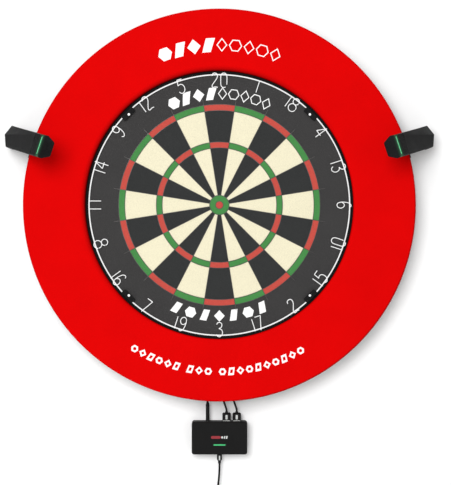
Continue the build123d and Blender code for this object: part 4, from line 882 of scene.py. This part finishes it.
for side, x in (("left", 12.1), ("right", 29.6)):
    lo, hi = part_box(f"usb_plug_{side}_grip")
    inlay(f"usb_inlay_{side}", x, lo[2] / MM + 5.2, 3.6, 7.6, -lo[1] / MM + 0.02, f"usb_plug_{side}")
lo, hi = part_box("power_plug_grip")
inlay("power_inlay", 0.0, hi[2] / MM - 6.6, 2.2, 8.0, -lo[1] / MM + 0.02, "power_plug")


# ------------------------------------------------------------------------------------------------ leads
def eased(points, bend=16.0, n=7, first=None):
    """The same path as the CAD lead: straight runs with each corner eased by a quadratic bend."""
    out, at = [Vector(points[0])], Vector(points[0])
    for k, (corner_, after) in enumerate(zip(points[1:-1], points[2:])):
        c, a = Vector(corner_), Vector(after)
        d = min(first if first and not k else bend, (c - at).length * 0.98, (a - c).length * 0.49)
        before, beyond = c + (at - c).normalized() * d, c + (a - c).normalized() * d
        run = (before - at).length
        for i in range(1, max(1, int(run / 6.0)) + 1):
            out.append(at.lerp(before, i / max(1, int(run / 6.0))))
        for i in range(1, n + 1):
            t = i / n
            out.append(before * (1 - t) ** 2 + c * (2 * t * (1 - t)) + beyond * t * t)
        at = beyond
    last = Vector(points[-1])
    run = (last - at).length
    for i in range(1, max(1, int(run / 6.0)) + 1):
        out.append(at.lerp(last, i / max(1, int(run / 6.0))))
    return [p * MM for p in out]


def pt(x, z, h):
    return Vector((x, -h, z))


ca, sa = math.cos(math.radians(18)), math.sin(math.radians(18))
BOX_TOP, BOX_BOTTOM, H_PORT, H_LEAD, H_POWER = -369.6, -425.6, 13.1, 10.2, 11.5
USB_Z0 = BOX_TOP + 1.6
LEADS = {
    "usb_lead_left": ([pt(12.1, USB_Z0 + 9.0, H_PORT), pt(12.1, -350.0, H_PORT), pt(0.5, -316.0, H_LEAD), pt(0.5, -250.0, H_LEAD), pt(-60.0, -190.0, H_LEAD),
                       pt(-262 * ca + 3.2 * sa, 262 * sa + 3.2 * ca - 60, H_LEAD), pt(-262 * ca + 3.2 * sa, 262 * sa + 3.2 * ca, H_LEAD),
                       pt(-297.5 * ca + 3.2 * sa, 297.5 * sa + 3.2 * ca, H_LEAD)], 1.7, "usb_plug_left"),
    "usb_lead_right": ([pt(29.6, USB_Z0 + 9.0, H_PORT), pt(29.6, -350.0, H_PORT), pt(18.0, -316.0, H_LEAD), pt(18.0, -250.0, H_LEAD), pt(72.0, -190.0, H_LEAD),
                        pt(262 * ca, 262 * sa - 60, H_LEAD), pt(262 * ca, 262 * sa, H_LEAD), pt(297.5 * ca, 297.5 * sa, H_LEAD)], 1.7, "usb_plug_right"),
    "dc_lead": ([pt(-20.4, BOX_TOP + 9.0, H_PORT), pt(-20.4, -331.0, H_PORT), pt(-21.0, -305.0, H_LEAD), pt(-21.0, -250.0, H_LEAD), pt(-76.0, -196.0, H_LEAD),
                 pt(-270 * ca - 3.4 * sa, 270 * sa - 3.4 * ca - 66, H_LEAD), pt(-270 * ca - 3.4 * sa, 270 * sa - 3.4 * ca, H_LEAD),
                 pt(-297.5 * ca - 3.4 * sa, 297.5 * sa - 3.4 * ca, H_LEAD)], 1.9, "dc_plug"),
}
for name, (points, r, plug) in LEADS.items():
    ob = tube(name + "_sleeve", eased(points, first=3.0 if name.startswith("usb") else 5.0), r * MM, MAT["lead_black"], segments=16)
    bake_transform(ob)
    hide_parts(name)
ob = tube("power_lead_sleeve", eased([pt(0, BOX_BOTTOM - 8.0, H_POWER), pt(0, BOX_BOTTOM - 32.0, H_POWER), pt(-5.0, -505, 9.0), pt(-5.0, -548, 9.0)], 14.0), 1.7 * MM, MAT["lead_black"], segments=16)
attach(ob, "power_plug")
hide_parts("power_lead")

# ------------------------------------------------------------------------------------------------ stage
wall_mat = Nodes("wall_paint")
fine = wall_mat.noise(300, 4, 0.6)
wall_mat.bsdf(base=wall_mat.mix(wall_mat.rng(wall_mat.noise(3, 3), 0, 1, 0.3, 0.7), (0.90, 0.90, 0.90, 1), (0.93, 0.93, 0.93, 1)), rough=0.9, spec=0.05, normal=wall_mat.bump(fine, 0.0002, 0.2), emit=(1, 1, 1, 1), emit_strength=0.06)
wall = add_mesh("wall", [(-4, 0.0006, -1.73), (4, 0.0006, -1.73), (4, 0.0006, 3.0), (-4, 0.0006, 3.0)], [(0, 1, 2, 3)], wall_mat.m, None)
floor_mat = Nodes("floor_paint")
floor_mat.bsdf(base=floor_mat.mix(floor_mat.noise(4, 3), (0.80, 0.80, 0.79, 1), (0.86, 0.86, 0.85, 1)), rough=0.8, spec=0.2, normal=floor_mat.bump(floor_mat.noise(200, 4), 0.0002, 0.2))
floor = add_mesh("floor", [(-6, -6, -1.73), (6, -6, -1.73), (6, 4, -1.73), (-6, 4, -1.73)], [(0, 1, 2, 3)], floor_mat.m, None)

world = bpy.data.worlds.new("studio")
bpy.context.scene.world = world
world.use_nodes = True
bg = world.node_tree.nodes["Background"]
bg.inputs[0].default_value = (1.0, 1.0, 1.0, 1)
bg.inputs[1].default_value = 0.42


def area(name, loc, target, size, power, color=(1, 1, 1), size_y=None):
    ld = bpy.data.lights.new(name, "AREA")
    ld.energy = power
    ld.color = color
    ld.size = size
    if size_y:
        ld.shape = "RECTANGLE"
        ld.size_y = size_y
    ob = bpy.data.objects.new(name, ld)
    COLL.objects.link(ob)
    ob.location = loc
    ob.rotation_euler = (Vector(target) - Vector(loc)).to_track_quat("-Z", "Y").to_euler()
    return ob


area("key", (-0.62, -3.1, 0.60), (0, 0, 0), 1.5, 76)
area("fill", (2.2, -3.2, -0.2), (0, 0, 0), 2.4, 6)

cam_data = bpy.data.cameras.new("camera")
cam = bpy.data.objects.new("camera", cam_data)
COLL.objects.link(cam)
cam_data.lens = 110
cam_data.sensor_width = 36
cam.location = (0.0103, -2.558, -0.0632)
cam.rotation_euler = (math.radians(90), 0, 0)
bpy.context.scene.camera = cam
bpy.context.scene.view_settings.view_transform = "Standard"
bpy.context.scene.view_settings.look = "None"
bpy.context.scene.view_settings.exposure = 0.0
bpy.context.scene.view_settings.gamma = 1.0

# the wall steps aside when the camera goes behind it
drv = wall.driver_add("hide_render").driver
drv.type = "SCRIPTED"
var = drv.variables.new()
var.name = "y"
var.targets[0].id = cam
var.targets[0].data_path = "location[1]"
drv.expression = "y > 0"
